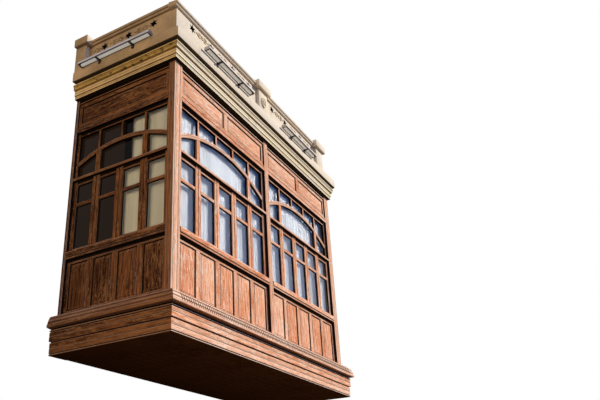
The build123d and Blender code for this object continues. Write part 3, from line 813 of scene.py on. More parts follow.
def window_glass(name, clear, index, unlit=None, edge=0.0):
    """Old drawn glass: smooth, slightly wavy, and open to the lamps' light.

    unlit is a dark tint, painted shade that stands in for the unlit room behind, from the wall out
    to edge, and above the transom UNLIT_STEP further out.
    """
    material, tree, shader = new_material(
        name, Roughness=0.03, IOR=index, Transmission_Weight=1.0, Base_Color=clear
    )
    place = add_node(tree, "ShaderNodeTexCoord", output="Object")
    # Waves 200 mm apart
    waves = add_node(tree, "ShaderNodeTexNoise", {"Vector": place, "Scale": 5.0})
    bump = add_node(tree, "ShaderNodeBump", {"Strength": 0.15, "Distance": 0.002, "Height": waves})
    link_shader(tree, shader, Normal=bump)
    tint = clear
    # The dark tint near the wall is painted shade for the unlit room behind
    if unlit:
        place = add_node(tree, "ShaderNodeSeparateXYZ", {0: place}, output=None)
        above = add_node(tree, "ShaderNodeMath", {
            0: place["Z"], 1: TRANSOM_Z}, operation="GREATER_THAN")
        depth = add_node(tree, "ShaderNodeMath", {
            0: above, 1: UNLIT_STEP, 2: place["Y"]}, operation="MULTIPLY_ADD")
        dark = add_node(tree, "ShaderNodeMapRange", {
            "Value": depth, "From Min": edge - 0.01, "From Max": edge + 0.01})
        tint = add_node(tree, "ShaderNodeMix", {0: dark, 6: clear, 7: unlit}, **BLEND)
        link_shader(tree, shader, Base_Color=tint)
    shadow = add_node(tree, "ShaderNodeLightPath", output="Is Shadow Ray")
    through = add_node(tree, "ShaderNodeBsdfTransparent", {0: tint})
    mixed = add_node(tree, "ShaderNodeMixShader", {0: shadow, 1: shader.outputs[0], 2: through})
    tree.links.new(mixed, tree.nodes["Material Output"].inputs["Surface"])
    return material


def cotton_voile(name, colour, inside_colour, see_through):
    """Thin woven cotton: matt, soft at its folds and shaded there with painted shade, passing light
    through in its inside colour.
    """
    material, tree, shader = new_material(
        name, Base_Color=colour, Roughness=0.9, Sheen_Weight=0.25, Sheen_Roughness=0.5
    )
    cloth = add_node(tree, "ShaderNodeUVMap", uv_map="grain")
    # Threads 4 mm apart are drawn coarser than real ones, so that they show
    threads = add_node(tree, "ShaderNodeTexBrick", {
        "Vector": cloth, "Scale": 250.0, "Mortar Size": 0.03, "Brick Width": 1.0,
        "Row Height": 1.0}, output=1, offset=0.5)
    # Painted shade of folds, in vertical strips 110 mm wide
    drawn_out = add_node(tree, "ShaderNodeMapping", {"Vector": cloth, "Scale": (9, 0.6, 1)})
    fold_shade = add_node(tree, "ShaderNodeTexNoise", {"Vector": drawn_out, "Scale": 1.0, "Detail": 4.0})
    shade = add_node(tree, "ShaderNodeMapRange", {
        "Value": fold_shade, "From Min": 0.3, "From Max": 0.7, "To Min": 0.72, "To Max": 1.0})
    toned = add_node(tree, "ShaderNodeMix", {0: 1.0, 6: colour, 7: shade}, **SHADE)
    bump = add_node(tree, "ShaderNodeBump", {
        "Strength": 0.2, "Distance": 0.0006, "Height": threads})
    link_shader(tree, shader, Base_Color=toned, Normal=bump)
    # The blue inside colour is painted light: it tints the voile's shade as blue skylight would
    through = add_node(tree, "ShaderNodeBsdfTranslucent", {0: inside_colour})
    mixed = add_node(tree, "ShaderNodeMixShader", {
        0: see_through, 1: shader.outputs[0], 2: through})
    tree.links.new(mixed, tree.nodes["Material Output"].inputs["Surface"])
    return material


def coated_steel(name, colour, inside_colour):
    """Powder-coated sheet steel: a fine orange peel, dulled by dust, with a painted inside."""
    material, tree, shader = new_material(name, IOR=1.5, Specular_IOR_Level=0.15)
    place = add_node(tree, "ShaderNodeTexCoord", output="Object")
    # Faces marked with grime and shade take the inside colour
    lined = add_node(tree, "ShaderNodeAttribute", output="Fac", attribute_name="grime_and_shade")
    # Orange peel 2.5 mm apart, coarser than the real one, and clouds of dust 110 mm wide
    peel = add_node(tree, "ShaderNodeTexNoise", {"Vector": place, "Scale": 400.0})
    dust = add_node(tree, "ShaderNodeTexNoise", {"Vector": place, "Scale": 9.0, "Detail": 6.0})
    shade = add_node(tree, "ShaderNodeMapRange", {
        "Value": dust, "From Min": 0.3, "From Max": 0.7, "To Min": 0.75, "To Max": 1.0})
    toned = add_node(tree, "ShaderNodeMix", {0: lined, 6: colour, 7: inside_colour}, **BLEND)
    toned = add_node(tree, "ShaderNodeMix", {0: 1.0, 6: toned, 7: shade}, **SHADE)
    rough = add_node(tree, "ShaderNodeMapRange", {"Value": dust, "To Min": 0.35, "To Max": 0.6})
    bump = add_node(tree, "ShaderNodeBump", {"Strength": 0.1, "Distance": 0.0005, "Height": peel})
    link_shader(tree, shader, Base_Color=toned, Roughness=rough, Normal=bump)
    return material


def opal_cover(name, colour):
    """Opal acrylic: smooth, milky and dulled by dust, with a faint painted glow that stands in for
    daylight on it.
    """
    material, tree, shader = new_material(
        name, IOR=1.49, Subsurface_Weight=0.15, Subsurface_Scale=0.01,
        # The emission is a painted glow; the cover is no lit lamp
        Emission_Color=colour, Emission_Strength=0.3,
    )
    place = add_node(tree, "ShaderNodeTexCoord", output="Object")
    # Clouds of dust 70 mm wide
    dust = add_node(tree, "ShaderNodeTexNoise", {"Vector": place, "Scale": 14.0, "Detail": 6.0})
    shade = add_node(tree, "ShaderNodeMapRange", {
        "Value": dust, "From Min": 0.3, "From Max": 0.7, "To Min": 0.82, "To Max": 1.0})
    toned = add_node(tree, "ShaderNodeMix", {0: 1.0, 6: colour, 7: shade}, **SHADE)
    rough = add_node(tree, "ShaderNodeMapRange", {"Value": dust, "To Min": 0.2, "To Max": 0.5})
    link_shader(tree, shader, Base_Color=toned, Roughness=rough)
    return material


def timber_finish():
    """The stained timber of the joinery, made once."""
    timber = bpy.context.scene.bay_timber
    name = "brush_stained_softwood"
    return bpy.data.materials.get(name) or stained_timber(name, [
        timber.stain, timber.stain_second, timber.worn_and_highlight, timber.shaded_side,
        timber.shaded_side_second, timber.shaded_worn_and_highlight, timber.grime_and_shade,
    ])


def soffit_finish():
    """The same timber, dark and unworn, below the floor."""
    timber = bpy.context.scene.bay_timber
    name = "unworn_softwood"
    return bpy.data.materials.get(name) or stained_timber(name, [
        timber.soffit, timber.soffit, timber.shaded_side, timber.soffit,
        timber.soffit, timber.shaded_side, timber.grime_and_shade,
    ], gloss=0.0)


def plaster_finish():
    """The limewash of the roof and the parapet, made once."""
    masonry = bpy.context.scene.bay_masonry
    name = "limewashed_plaster"
    return bpy.data.materials.get(name) or flaking_paint(name, [
        masonry.plaster, masonry.plaster_second, masonry.plaster_shaded_side,
        masonry.plaster_shaded_side, masonry.stain, masonry.plaster_dirt_and_shade,
    ], flake_size=0.35, flaked=0.0, run_length=0.5)


# Geometry Nodes


def row_tree():
    """Nodes that repeat an object's own mesh along a line, a little unevenly."""
    tree = bpy.data.node_groups.get("Row of pieces")
    if tree:
        return tree
    tree = bpy.data.node_groups.new("Row of pieces", "GeometryNodeTree")
    inputs = {
        "Piece": "Geometry", "Start": "Vector", "Step": "Vector", "Count": "Int",
        "Unevenness": "Vector", "Seed": "Int", "Finish": "Material",
    }
    for name, kind in inputs.items():
        tree.interface.new_socket(name, in_out="INPUT", socket_type=f"NodeSocket{kind}")
    tree.interface.new_socket("Pieces", in_out="OUTPUT", socket_type="NodeSocketGeometry")
    given = add_node(tree, "NodeGroupInput", output=None)
    line = add_node(tree, "GeometryNodeMeshLine", {
        "Count": given["Count"], "Start Location": given["Start"], "Offset": given["Step"]},
        mode="OFFSET")
    chance = add_node(tree, "FunctionNodeRandomValue", {
        "Seed": given["Seed"]}, data_type="FLOAT_VECTOR")
    centred = add_node(tree, "ShaderNodeVectorMath", {
        0: chance, 1: (0.5, 0.5, 0.5)}, operation="SUBTRACT")
    jitter = add_node(tree, "ShaderNodeVectorMath", {
        0: centred, 1: given["Unevenness"]}, operation="MULTIPLY")
    moved = add_node(tree, "GeometryNodeSetPosition", {"Geometry": line, "Offset": jitter})
    placed = add_node(tree, "GeometryNodeInstanceOnPoints", {
        "Points": moved, "Instance": given["Piece"]})
    tone = add_node(tree, "FunctionNodeRandomValue", {"Seed": given["Seed"]}, output=1)
    toned = add_node(tree, "GeometryNodeStoreNamedAttribute", {
        "Geometry": placed, "Name": "tone", "Value": tone}, data_type="FLOAT", domain="INSTANCE")
    real = add_node(tree, "GeometryNodeRealizeInstances", {0: toned})
    finished = add_node(tree, "GeometryNodeSetMaterial", {
        "Geometry": real, "Material": given["Finish"]})
    add_node(tree, "NodeGroupOutput", {0: finished}, output=None)
    return tree


def row_of(template, start, step, count, finish, unevenness=(0, 0, 0), seed=1):
    """A plain mesh of the template repeated along a line, with a tone for each copy."""
    if "tone" in template.attributes:
        template.attributes.remove(template.attributes["tone"])
    piece = bpy.data.objects.new("row", template)
    bpy.context.scene.collection.objects.link(piece)
    modifier = piece.modifiers.new("Row", "NODES")
    modifier.node_group = row_tree()
    values = {
        "Start": start, "Step": step, "Count": count, "Unevenness": unevenness, "Seed": seed,
        "Finish": finish,
    }
    for socket in modifier.node_group.interface.items_tree:
        if socket.name in values:
            modifier[socket.identifier] = values[socket.name]
    evaluated = piece.evaluated_get(bpy.context.evaluated_depsgraph_get())
    mesh = bpy.data.meshes.new_from_object(evaluated)
    piece.modifiers.clear()
    bpy.data.objects.remove(piece)
    return mesh


# Pieces


def cap_slope():
    """The cap's slope as (out, height) points: steep from its nose, with a flat top."""
    rise = POST_Z - CAP_NOSE
    return [
        (0.149, CAP_NOSE), (0.137, CAP_NOSE + 0.34 * rise), (0.121, CAP_NOSE + 0.67 * rise),
        (0.098, POST_Z - 0.006),
    ]


def base_outlines(slope_wear):
    """The boards of the base, as outlines of (out, height, grime, wear) from the bottom up."""
    back = RAIL_BACK
    # Pale marks on the lips are wear and painted highlight; dark marks are grime and painted shade
    # in grooves and joints
    lower = [
        (back, 0.004), (0.082, 0.004, 0, 1), (0.082, 0.014, 1), (0.070, 0.016, 1),
        (0.070, 0.026, 1), (0.080, 0.028, 0, 0.2), (0.080, 0.086, 1),
        (0.072, 0.090, 1), (0.080, 0.094), (0.080, 0.156), (back, 0.156),
    ]
    joint = rectangle(-0.095, 0.060, 0.150, 0.175, grime_and_shade=1.0)
    upper = [
        (back, 0.170), (0.095, 0.170), (0.095, 0.229, 1), (0.087, 0.233, 1),
        (0.095, 0.237), (0.095, 0.284, 1), (0.080, 0.286, 1), (0.080, 0.294, 1),
        (0.100, 0.295, 0, 0.8), (0.100, 0.308, 1), (back, 0.310),
    ]
    # The throat under the cap is dark with painted shade
    throat = rectangle(-0.095, 0.080, 0.302, 0.330, grime_and_shade=1.0)
    cap = [
        # The cap's underside is darkened with painted shade
        (back, 0.324, 1), (0.100, 0.326, 0.4), (0.140, 0.332), (0.153, 0.337),
        (0.153, 0.361, 1), (0.150, 0.364, 1),
    ]
    cap = raised(cap, BASE_Z)
    # Dirt lies between the boards of the slope
    for out, height in cap_slope():
        cap += [(out, height, 0, slope_wear), (out - 0.006, height + 0.018, 0.5)]
    cap[-1] = (0.000, POST_Z)
    cap.append((back, POST_Z))
    return [*(raised(outline, BASE_Z) for outline in (lower, joint, upper, throat)), cap]


def build_base(timber):
    finish, soffit = timber_finish(), soffit_finish()
    tones = (1.0, 0.0, 0.6, 0.0, 1.0)
    front, left = Joinery(11), Joinery(12)
    for outline, tone in zip(base_outlines(0.85), tones):
        front.front_run(outline, tone=tone)
    for outline, tone in zip(base_outlines(0.0), tones):
        left.left_run(outline, tone=tone)
    add_front_and_sides("base_moulding", "boards", front, left, finish)
    strip = rectangle(RAIL_BACK, 0.076, BASE_Z, BASE_Z + 0.004)
    front, left = Joinery(14), Joinery(15)
    front.front_run(strip, cut=0.001)
    left.left_run(strip, cut=0.001)
    add_piece("base_underside_front", front.mesh("underside"), soffit)
    add_pair("base_underside_left", left.mesh("underside_left"), soffit)
    rib = Joinery(13)
    marked = eased(rectangle(-0.006, 0.006, -0.003, 0.004, grime_and_shade=0.75), 0.001)
    rib.sweep([
        [Vector((a, -(out + 0.9 * b), height + 0.4 * b)) for a, b, _, _ in marked]
        for out, height in cap_slope()
    ], marked)
    spacing = timber.rib_spacing
    count = int(2 * RIGHT_X / spacing)
    start = (LEFT_X + (2 * RIGHT_X - (count - 1) * spacing) / 2, FRONT_Y, 0)
    ribs = row_of(rib.mesh("rib"), start, (spacing, 0, 0), count, finish, (0.006, 0, 0), seed=4)
    add_piece("base_ribs_front", ribs, finish, smooth=False)


def post_plan(width, depth, grooves_front, grooves_side):
    """A corner post's plan from its outer corner at (0, 0), with quirks cut in both faces."""
    groove, deep = 0.009, 0.007
    plan = [(width, depth), (0.0, depth)]
    for at in reversed(grooves_side):
        # Quirks are dark with painted shade, and the arris is pale with wear and a painted
        # highlight
        plan += [(0.0, at + groove, 1), (deep, at + groove / 2, 1), (0.0, at)]
    plan += [(0.0, 0.008, 0, 1), (0.003, 0.003, 0, 1), (0.008, 0.0, 0, 1)]
    for at in grooves_front:
        plan += [(at, 0.0, 1), (at + groove / 2, deep, 1), (at + groove, 0.0, 0, 0.15)]
    plan += [(width, 0.0)]
    return plan


def build_posts():
    finish = timber_finish()
    corner = Joinery(21)
    plan = post_plan(CORNER_HIGH.x - CORNER_LOW.x, CORNER_HIGH.y - CORNER_LOW.y,
                     (0.022, 0.110), (0.022, 0.070))
    outline = [(LEFT_X + a, FRONT_Y + b, *marks) for a, b, *marks in plan]
    corner.upright(outline, POST_Z, CORNICE_Z, tone=1.0)
    add_pair("corner_post_left_timber", corner.mesh("corner_post"), finish,
             ["corner_post_left"])
    middle = Joinery(23)
    half, y = MID_HIGH.x, FRONT_Y
    back = y + MID_HIGH.y - MID_LOW.y
    # The mid post's groove is dark with painted shade, and its edge pale with wear and highlight
    outline = [
        (half, back), (-half, back), (-half, y), (-0.030, y),
        (-0.0275, y + 0.006, 1), (-0.025, y), (0.025, y), (0.0275, y + 0.006, 1),
        (0.030, y, 0, 0.25), (half, y),
    ]
    middle.upright(outline, POST_Z, CORNICE_Z, tone=1.0)
    add_piece("mid_post_timber", middle.mesh("mid_post"), finish, ["mid_post"])
    wall = Joinery(24)
    low, high = WALL_POST_LOW, WALL_POST_HIGH
    outline = [
        (high.x, high.y), (low.x, high.y), (low.x, -0.030), (low.x + 0.006, -0.0325, 1),
        (low.x, -0.035), (low.x, low.y), (high.x, low.y),
    ]
    wall.upright(outline, POST_Z, CORNICE_Z, tone=0.3)
    add_pair("wall_post_left_timber", wall.mesh("wall_post"), finish,
             ["wall_post_left"])


def build_rails():
    back = RAIL_BACK
    sill = [
        (back, 0), (0.000, 0), (0.000, 0.020, 1), (-0.008, 0.023, 1), (-0.008, 0.030),
        (0.008, 0.033), (0.008, 0.092), (0.000, 0.103), (INFILL_FACE, 0.103), (back, 0.103),
    ]
    transom = [
        (back, 0), (-0.006, 0), (0.000, 0.006), (0.000, 0.032), (-0.006, 0.038), (back, 0.038),
    ]
    frieze = [
        (back, 0), (0.000, 0), (0.000, 0.054, 1), (-0.007, 0.057, 1), (-0.007, 0.064),
        (0.000, 0.066), (0.000, 0.088), (back, 0.088),
    ]
    front, left = Joinery(31), Joinery(32)
    for rails, face, bay in (
        (front, FRONT, LEFT_BAY), (front, FRONT, RIGHT_BAY), (left, LEFT, SIDE_BAY),
    ):
        start, lights, width = bay
        for outline, level in ((sill, SILL_Z), (transom, TRANSOM_Z), (frieze, FRIEZE_RAIL_Z)):
            rails.straight(face, start, start + lights * width, raised(outline, level))
    add_front_and_sides("rails", "timber", front, left, timber_finish())


def framed_panels(
    work, face, bay, count, low, high, sizes, rise, lit=0.018, face_out=INFILL_FACE
):
    """Stiles, rails, muntins, beads and one raised panel in each opening."""
    start, lights, width = bay
    end = start + lights * width
    stile, muntin, bottom_rail, top_rail = sizes
    back = INFILL_BACK
    out = (back, face_out)
    bottom = [
        (back, low), (face_out, low), (face_out, low + bottom_rail * 0.30, 0.8),
        (face_out - 0.005, low + bottom_rail * 0.33, 0.8), (face_out, low + bottom_rail * 0.36),
        (face_out, low + bottom_rail), (back, low + bottom_rail),
    ]
    work.straight(face, start, end, bottom)
    work.head_rail(face, (start, end), high - top_rail, high, out, lit)
    step = (end - start) / count
    level = face_out - 0.015
    bead = [
        (-0.002, face_out - 0.004), (0.000, face_out), (0.006, face_out),
        (0.012, face_out - 0.006), (0.012, level - 0.004), (-0.002, level - 0.004),
    ]
    # The panel's margin is dark with painted shade, and its field's edge pale with wear and painted
    # highlight
    panel_steps = [
        (0.0, back, 0, 0), (0.0, level - 0.003, 0, 1.0), (0.015, level - 0.002, 0, 0.15),
        (0.040, level + rise - 0.004, 0.6, 0.7), (0.042, level + rise - 0.001, 1.0, 0.0),
        (0.045, level + rise, 0.0, 0.0),
    ]
    opening = (low + bottom_rail, high - top_rail)
    for panel in range(count):
        last = panel == count - 1
        x = start + panel * step + (stile if panel == 0 else muntin / 2)
        x_end = start + (panel + 1) * step - (stile if last else muntin / 2)
        if panel == 0:
            work.board(face, (start, x), opening, out, UPRIGHT)
        work.board(face, (x_end, end if last else x_end + muntin), opening, out, UPRIGHT)
        work.frame_bead(face, (x, x_end), opening, bead)
        work.plate(face, (x, x_end), opening, panel_steps)


def build_panelling(timber):
    sizes = (
        timber.panel_stile, timber.panel_muntin, timber.panel_bottom_rail, timber.panel_top_rail,
    )
    front, left = Joinery(41), Joinery(42)
    for work, face, bay in (
        (front, FRONT, LEFT_BAY), (front, FRONT, RIGHT_BAY), (left, LEFT, SIDE_BAY),
    ):
        framed_panels(work, face, bay, bay[1], POST_Z, SILL_Z, sizes, 0.009)
    add_front_and_sides("panelling", "timber", front, left, timber_finish())


def build_frieze(timber):
    sizes = (
        timber.frieze_stile, timber.frieze_muntin, timber.frieze_bottom_rail,
        timber.frieze_top_rail,
    )
    # The bead is pale with wear and a painted highlight
    bead = rectangle(
        FRIEZE_FACE - 0.010, -0.004, CORNICE_Z - 0.064, CORNICE_Z - 0.048, wear_and_highlight=1.0
    )
    front, left = Joinery(51), Joinery(52)
    for work, face, bay, count in (
        (front, FRONT, LEFT_BAY, 2), (front, FRONT, RIGHT_BAY, 2), (left, LEFT, SIDE_BAY, 1),
    ):
        framed_panels(
            work, face, bay, count, FRIEZE_Z, CORNICE_Z, sizes, 0.008, 0.060, FRIEZE_FACE
        )
        work.straight(face, bay[0], bay[0] + bay[1] * bay[2], bead, tone=1.0)
    add_front_and_sides("frieze", "timber", front, left, timber_finish())


def casement_sashes(work, face, bay, timber):
    """A sash in each light, with a bar across it and a bead round each pane on both sides."""
    start, lights, width = bay
    out = (SASH_BACK, INFILL_FACE)
    glass_back, glass_front = SASH_GLASS[0] - GLASS_GAP, SASH_GLASS[1] + GLASS_GAP
    front_bar, back_bar = (glass_front, INFILL_FACE - 0.002), (SASH_BACK + 0.002, glass_back)
    bead = [
        (-0.001, INFILL_FACE - 0.003), (0.004, INFILL_FACE - 0.003), (0.011, -0.056),
        (0.011, glass_front), (-0.001, glass_front),
    ]
    back_bead = [
        (-0.001, glass_back), (-0.001, back_bar[0]), (0.003, back_bar[0]), (0.009, glass_back),
    ]
    sash = (CASEMENT_Z, TRANSOM_Z)
    foot, head = CASEMENT_Z + timber.sash_bottom_rail, TRANSOM_Z - timber.sash_top_rail
    bar = CASEMENT_Z + timber.glazing_bar_height
    bar_top = bar + timber.glazing_bar
    for light in range(lights):
        low = start + light * width + timber.joint_gap / 2
        high = low + width - timber.joint_gap
        pane = (low + timber.sash_stile, high - timber.sash_stile)
        work.board(face, (low, pane[0]), sash, out, UPRIGHT, ease=0.005)
        work.board(face, (pane[1], high), sash, out, UPRIGHT, ease=0.005)
        work.board(face, pane, (CASEMENT_Z, foot), out, face.axis)
        work.head_rail(face, pane, head, TRANSOM_Z, out)
        work.board(face, pane, (bar, bar_top), front_bar, face.axis)
        work.board(face, pane, (bar, bar_top), back_bar, face.axis)
        for opening in ((foot, bar), (bar_top, head)):
            work.frame_bead(face, pane, opening, bead)
            work.frame_bead(face, pane, opening, back_bead)


def fanlight_frame(work, face, bay, timber):
    """A head, stiles, an arched bar, short bars above it and two posts below it."""
    start, lights, width = bay
    end = start + lights * width
    back, face_out = INFILL_BACK, INFILL_FACE
    out = (back, face_out)
    whole = (FANLIGHT_Z, FRIEZE_RAIL_Z)
    stile = timber.fanlight_stile
    inner = (start + stile, end - stile)
    opening = (FANLIGHT_Z + timber.sash_bottom_rail, FRIEZE_RAIL_Z - timber.fanlight_head)
    work.board(face, (start, inner[0]), whole, out, UPRIGHT)
    work.board(face, (inner[1], end), whole, out, UPRIGHT)
    work.board(face, inner, (FANLIGHT_Z, opening[0]), out, face.axis)
    work.head_rail(face, inner, opening[1], FRIEZE_RAIL_Z, out)
    span = inner[1] - inner[0]
    rise = timber.arch_rise_front if face is FRONT else timber.arch_rise_side
    radius = (span * span / 4 + rise * rise) / (2 * rise)
    centre = ((start + end) / 2, FANLIGHT_Z + timber.arch_spring + rise - radius)
    half = timber.arch_width / 2
    arch = [
        (-half, back), (-half, face_out - 0.010), (-half + 0.010, face_out - 0.002),
        (-0.006, face_out), (0.0, face_out - 0.004, 0.8), (0.006, face_out),
        (half - 0.010, face_out - 0.002), (half, face_out - 0.010), (half, back),
    ]
    work.arch(face, centre, radius, span / 2 + stile / 3, arch)

    def arch_height(along):
        return centre[1] + math.sqrt(radius * radius - (along - centre[0]) ** 2)

    bar, post = timber.fanlight_bar / 2, timber.fanlight_post / 2
    for light in range(1, lights):
        x = start + light * width
        above = (arch_height(x) + half * 0.3, opening[1] + 0.002)
        work.board(face, (x - bar, x + bar), above, (back + 0.001, face_out - 0.003), UPRIGHT,
                   ease=0.006)
        if light in (1, lights - 1):
            top = min(arch_height(x - post), arch_height(x + post)) - half * 0.3
            work.board(face, (x - post, x + post), (opening[0] - 0.002, top),
                       (back + 0.001, face_out - 0.002), UPRIGHT, ease=0.005)
            for side in (-1, 1):
                edge = x + side * (post + 0.005)
                work.board(face, (edge - 0.005, edge + 0.005), (opening[0], top + half * 0.4),
                           (back + 0.002, face_out - 0.014), UPRIGHT)


def build_windows(stem, ending, seed, add_timber, timber):
    """The windows of both front bays and of the sides. add_timber fills one bay."""
    finish = timber_finish()
    for number, (side, bay) in enumerate((("left", LEFT_BAY), ("right", RIGHT_BAY))):
        work = Joinery(seed + number)
        add_timber(work, FRONT, bay, timber)
        node = f"{stem}_front_{side}"
        add_piece(f"{node}_{ending}", work.mesh(node), finish, [node])
    work = Joinery(seed + 2)
    add_timber(work, LEFT, SIDE_BAY, timber)
    node = f"{stem}_left"
    add_pair(f"{node}_{ending}", work.mesh(node), finish, [node])


def build_casements(timber):
    build_windows("casements", "sashes", 61, casement_sashes, timber)


def build_fanlights(timber):
    build_windows("fanlight", "bars", 71, fanlight_frame, timber)


def build_glazing(glazing):
    clear = window_glass("clear_window_glass", glazing.glass, 1.25)
    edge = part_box("curtain_left")[1].y - 0.045
    side = window_glass("side_window_glass", glazing.glass, 1.12, glazing.glass_unlit, edge)
    for name, finish in (("front", clear), ("left", side), ("right", side)):
        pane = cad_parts[f"glazing_{name}"]
        pane.data.materials.clear()
        pane.data.materials.append(finish)


def build_cornice(masonry):
    finish = flaking_paint("painted_softwood", [
        masonry.paint, masonry.paint_second, masonry.paint_shaded_side, masonry.paint_ochre,
        masonry.bare_wood, masonry.paint_dirt_and_shade,
    ], flake_size=0.10, flaked=0.0, run_length=0.4)
    back = RAIL_BACK
    # Dark marks in the lines between the bands and under the top band are grime and painted shade
    lower = [
        (back, 0, 1), (0.000, 0, 1), (0.000, 0.006, 1), (0.046, 0.007),
        (0.046, 0.030, 0.3), (0.042, 0.032, 0.3), (0.042, 0.035), (0.046, 0.037),
        (0.046, 0.058), (back, 0.058),
    ]
    middle = [
        (back, 0.056), (0.050, 0.056, 0.45), (0.050, 0.062), (0.058, 0.064),
        (0.058, 0.098, 0.25), (0.055, 0.100, 0.25), (0.055, 0.103),
        (0.058, 0.105), (0.060, 0.138), (back, 0.138),
    ]
    upper = [
        (back, 0.138), (0.064, 0.138, 0.45), (0.064, 0.144, 0, 0.8),
        (0.083, 0.150, 0, 1), (0.086, 0.186, 0, 1), (0.092, 0.206, 0, 0.8),
        (0.100, 0.210, 0, 0.5), (0.100, 0.232, 0.8), (0.020, 0.235, 1),
        (back, 0.235),
    ]
    # The neck under the slab is dark with painted shade
    foot = CORNICE_Z + 0.234
    neck = [(back, foot), (0.050, foot, 1), (0.050, SLAB_Z, 1), (back, SLAB_Z)]
    front, left = Joinery(81), Joinery(82)
    for band in (*(raised(outline, CORNICE_Z) for outline in (lower, middle, upper)), neck):
        front.front_run(band, cut=0.004)
        left.left_run(band, cut=0.004)
    add_front_and_sides("cornice", "bands", front, left, finish)


def add_plastered(node, ending, rounding, segments=2, out_axis=None):
    """A plastered copy of a CAD node. Given the axis across its wall, its openings get painted
    shade.
    """
    mesh = rounded_copy(node, rounding, segments)
    if out_axis is not None:
        darken_openings(mesh, out_axis)
    add_piece(f"{node}_{ending}", mesh, plaster_finish(), [node])


def build_roof():
    add_plastered("roof_slab", "render", 0.012, 3)


def leaf(work, face, root, angle, length, width, rise, bend=0.0, painted_shade=1.0):
    """A domed leaf in low relief, bent along its length, on a face, with painted shade round its
    foot.
    """
    count = 7
    rings = (
        (1.0, -0.002, painted_shade), (1.0, 0.001, 0.6 * painted_shade), (0.72, 0.75 * rise, 0.0), (0.34, rise, 0.0),
    )
    points = []
    for size, out, _ in rings:
        for side, steps in ((1, range(count)), (-1, range(count - 2, 0, -1))):
            for step in steps:
                part = step / (count - 1)
                half = side * width / 2 * math.sin(math.pi * part) ** 0.7 * size
                reach = length * (0.5 + (part - 0.5) * (1 if size == 1.0 else 0.5 + size / 2))
                turn = angle + bend * reach / length
                points.append(face.at(
                    root[0] + reach * math.cos(turn) - half * math.sin(turn),
                    root[1] + reach * math.sin(turn) + half * math.cos(turn), out,
                ))
    around = 2 * count - 2
    faces = [(list(range(around)), 0.0, 0.0), (list(range(3 * around, 4 * around)), 0.0, 0.0)]
    for ring in range(3):
        low, high = ring * around, (ring + 1) * around
        for i in range(around):
            j = (i + 1) % around
            faces.append(([low + i, low + j, high + j, high + i], 0.0, rings[ring][2]))
    work.solid(points, faces, face.axis)


def spray(work, face, centre, size):
    """A rosette with three bent leaves to each side."""
    for petal in range(6):
        leaf(work, face, centre, math.radians(30 + 60 * petal), 0.042 * size, 0.020 * size, 0.008)
    reach = 0.046 * size
    for start, turn in ((0.0, 1), (math.pi, -1)):
        for lean, bend, length in ((-0.62, 0.9, 0.090), (0.0, 0.0, 0.125), (0.62, -0.9, 0.090)):
            angle = start + turn * lean
            root = (centre[0] + reach * math.cos(angle), centre[1] + reach * math.sin(angle))
            leaf(work, face, root, angle, length * size, 0.028 * size, 0.009, turn * bend)


def darken_openings(mesh, out_axis):
    """Mark the jambs of the pierced stars dark, as painted shade. out_axis is the one across the
    wall.
    """
    jamb_area, jamb_turn = 0.008, 0.2
    grime_and_shade = mesh.attributes.new("grime_and_shade", "FLOAT", "FACE")
    for face in mesh.polygons:
        near = abs(face.center.z - STAR_Z) < STAR_RADIUS
        if near and face.area < jamb_area and abs(face.normal[out_axis]) < jamb_turn:
            grime_and_shade.data[face.index].value = 1.0


def spray_row(face, start, step, size, finish, seed):
    """The mesh of a row of sprays between the stars of one face."""
    template = Joinery(seed)
    spray(template, face, (start, 0.0), size)
    return row_of(template.mesh("spray"), (0, 0, 0), face.along * step, SPRAYS_IN_ROW, finish)


def build_parapet(masonry):
    for name, out_axis in (("front", 1), ("left", 0), ("right", 0)):
        add_plastered(f"parapet_{name}", "plaster", 0.006, out_axis=out_axis)
    relief = flaking_paint("ochre_washed_plaster", [
        masonry.relief, masonry.plaster, masonry.plaster_shaded_side, masonry.relief, masonry.stain,
        masonry.plaster_dirt_and_shade,
    ], flake_size=0.06, flaked=0.12, run_length=0.3)
    front = Face((PARAPET_MIDDLE, PARAPET_FACE_Y, STAR_Z), (1, 0, 0), (0, -1, 0))
    for side, start in FRONT_SPRAYS.items():
        row = spray_row(front, start, FRONT_SPRAY_STEP, 1.0, relief, 85)
        add_piece(f"sprays_front_{side}", row, relief)
    flank = Face((PARAPET_FACE_X, 0, STAR_Z), (0, -1, 0), (-1, 0, 0))
    row = spray_row(flank, SIDE_SPRAY, SIDE_SPRAY_STEP, 0.9, relief, 86)
    twin = mirrored(row, "sprays_right")
    twin.transform(Matrix.Translation((2 * PARAPET_MIDDLE, 0, 0)))
    add_piece("sprays_left", row, relief)
    add_piece("sprays_right", twin, relief)
    medallion = Joinery(87)
    pier = Face((PARAPET_MIDDLE, PARAPET_LOW.y, MEDALLION_Z), (1, 0, 0), (0, -1, 0))
    # The ring's foot is darkened with painted shade
    marked = eased([
        (-0.011, -0.003), (-0.011, 0.001, 0.3), (-0.004, 0.007), (0.004, 0.007),
        (0.011, 0.001, 0.3), (0.011, -0.003),
    ], 0.001)
    stations, around = [], 40
    for step in range(around):
        angle = 2 * math.pi * step / around
        stations.append([
            pier.at((MEDALLION_HALF_WIDTH + a) * math.cos(angle),
                    (MEDALLION_HALF_HEIGHT + a) * math.sin(angle), b)
            for a, b, _, _ in marked
        ])
    medallion.sweep(stations, marked, closed=True)
    for petal in range(MEDALLION_PETALS):
        angle = 2 * math.pi * petal / MEDALLION_PETALS
        length = 0.042 + 0.016 * abs(math.sin(angle))
        leaf(medallion, pier, (0.0, 0.0), angle, length, 0.017, 0.007, painted_shade=0.35)
    add_piece("parapet_medallion", medallion.mesh("medallion"), relief)


def build_coping():
    for name in ("front", "left", "right"):
        add_plastered(f"coping_{name}", "plaster", 0.007)


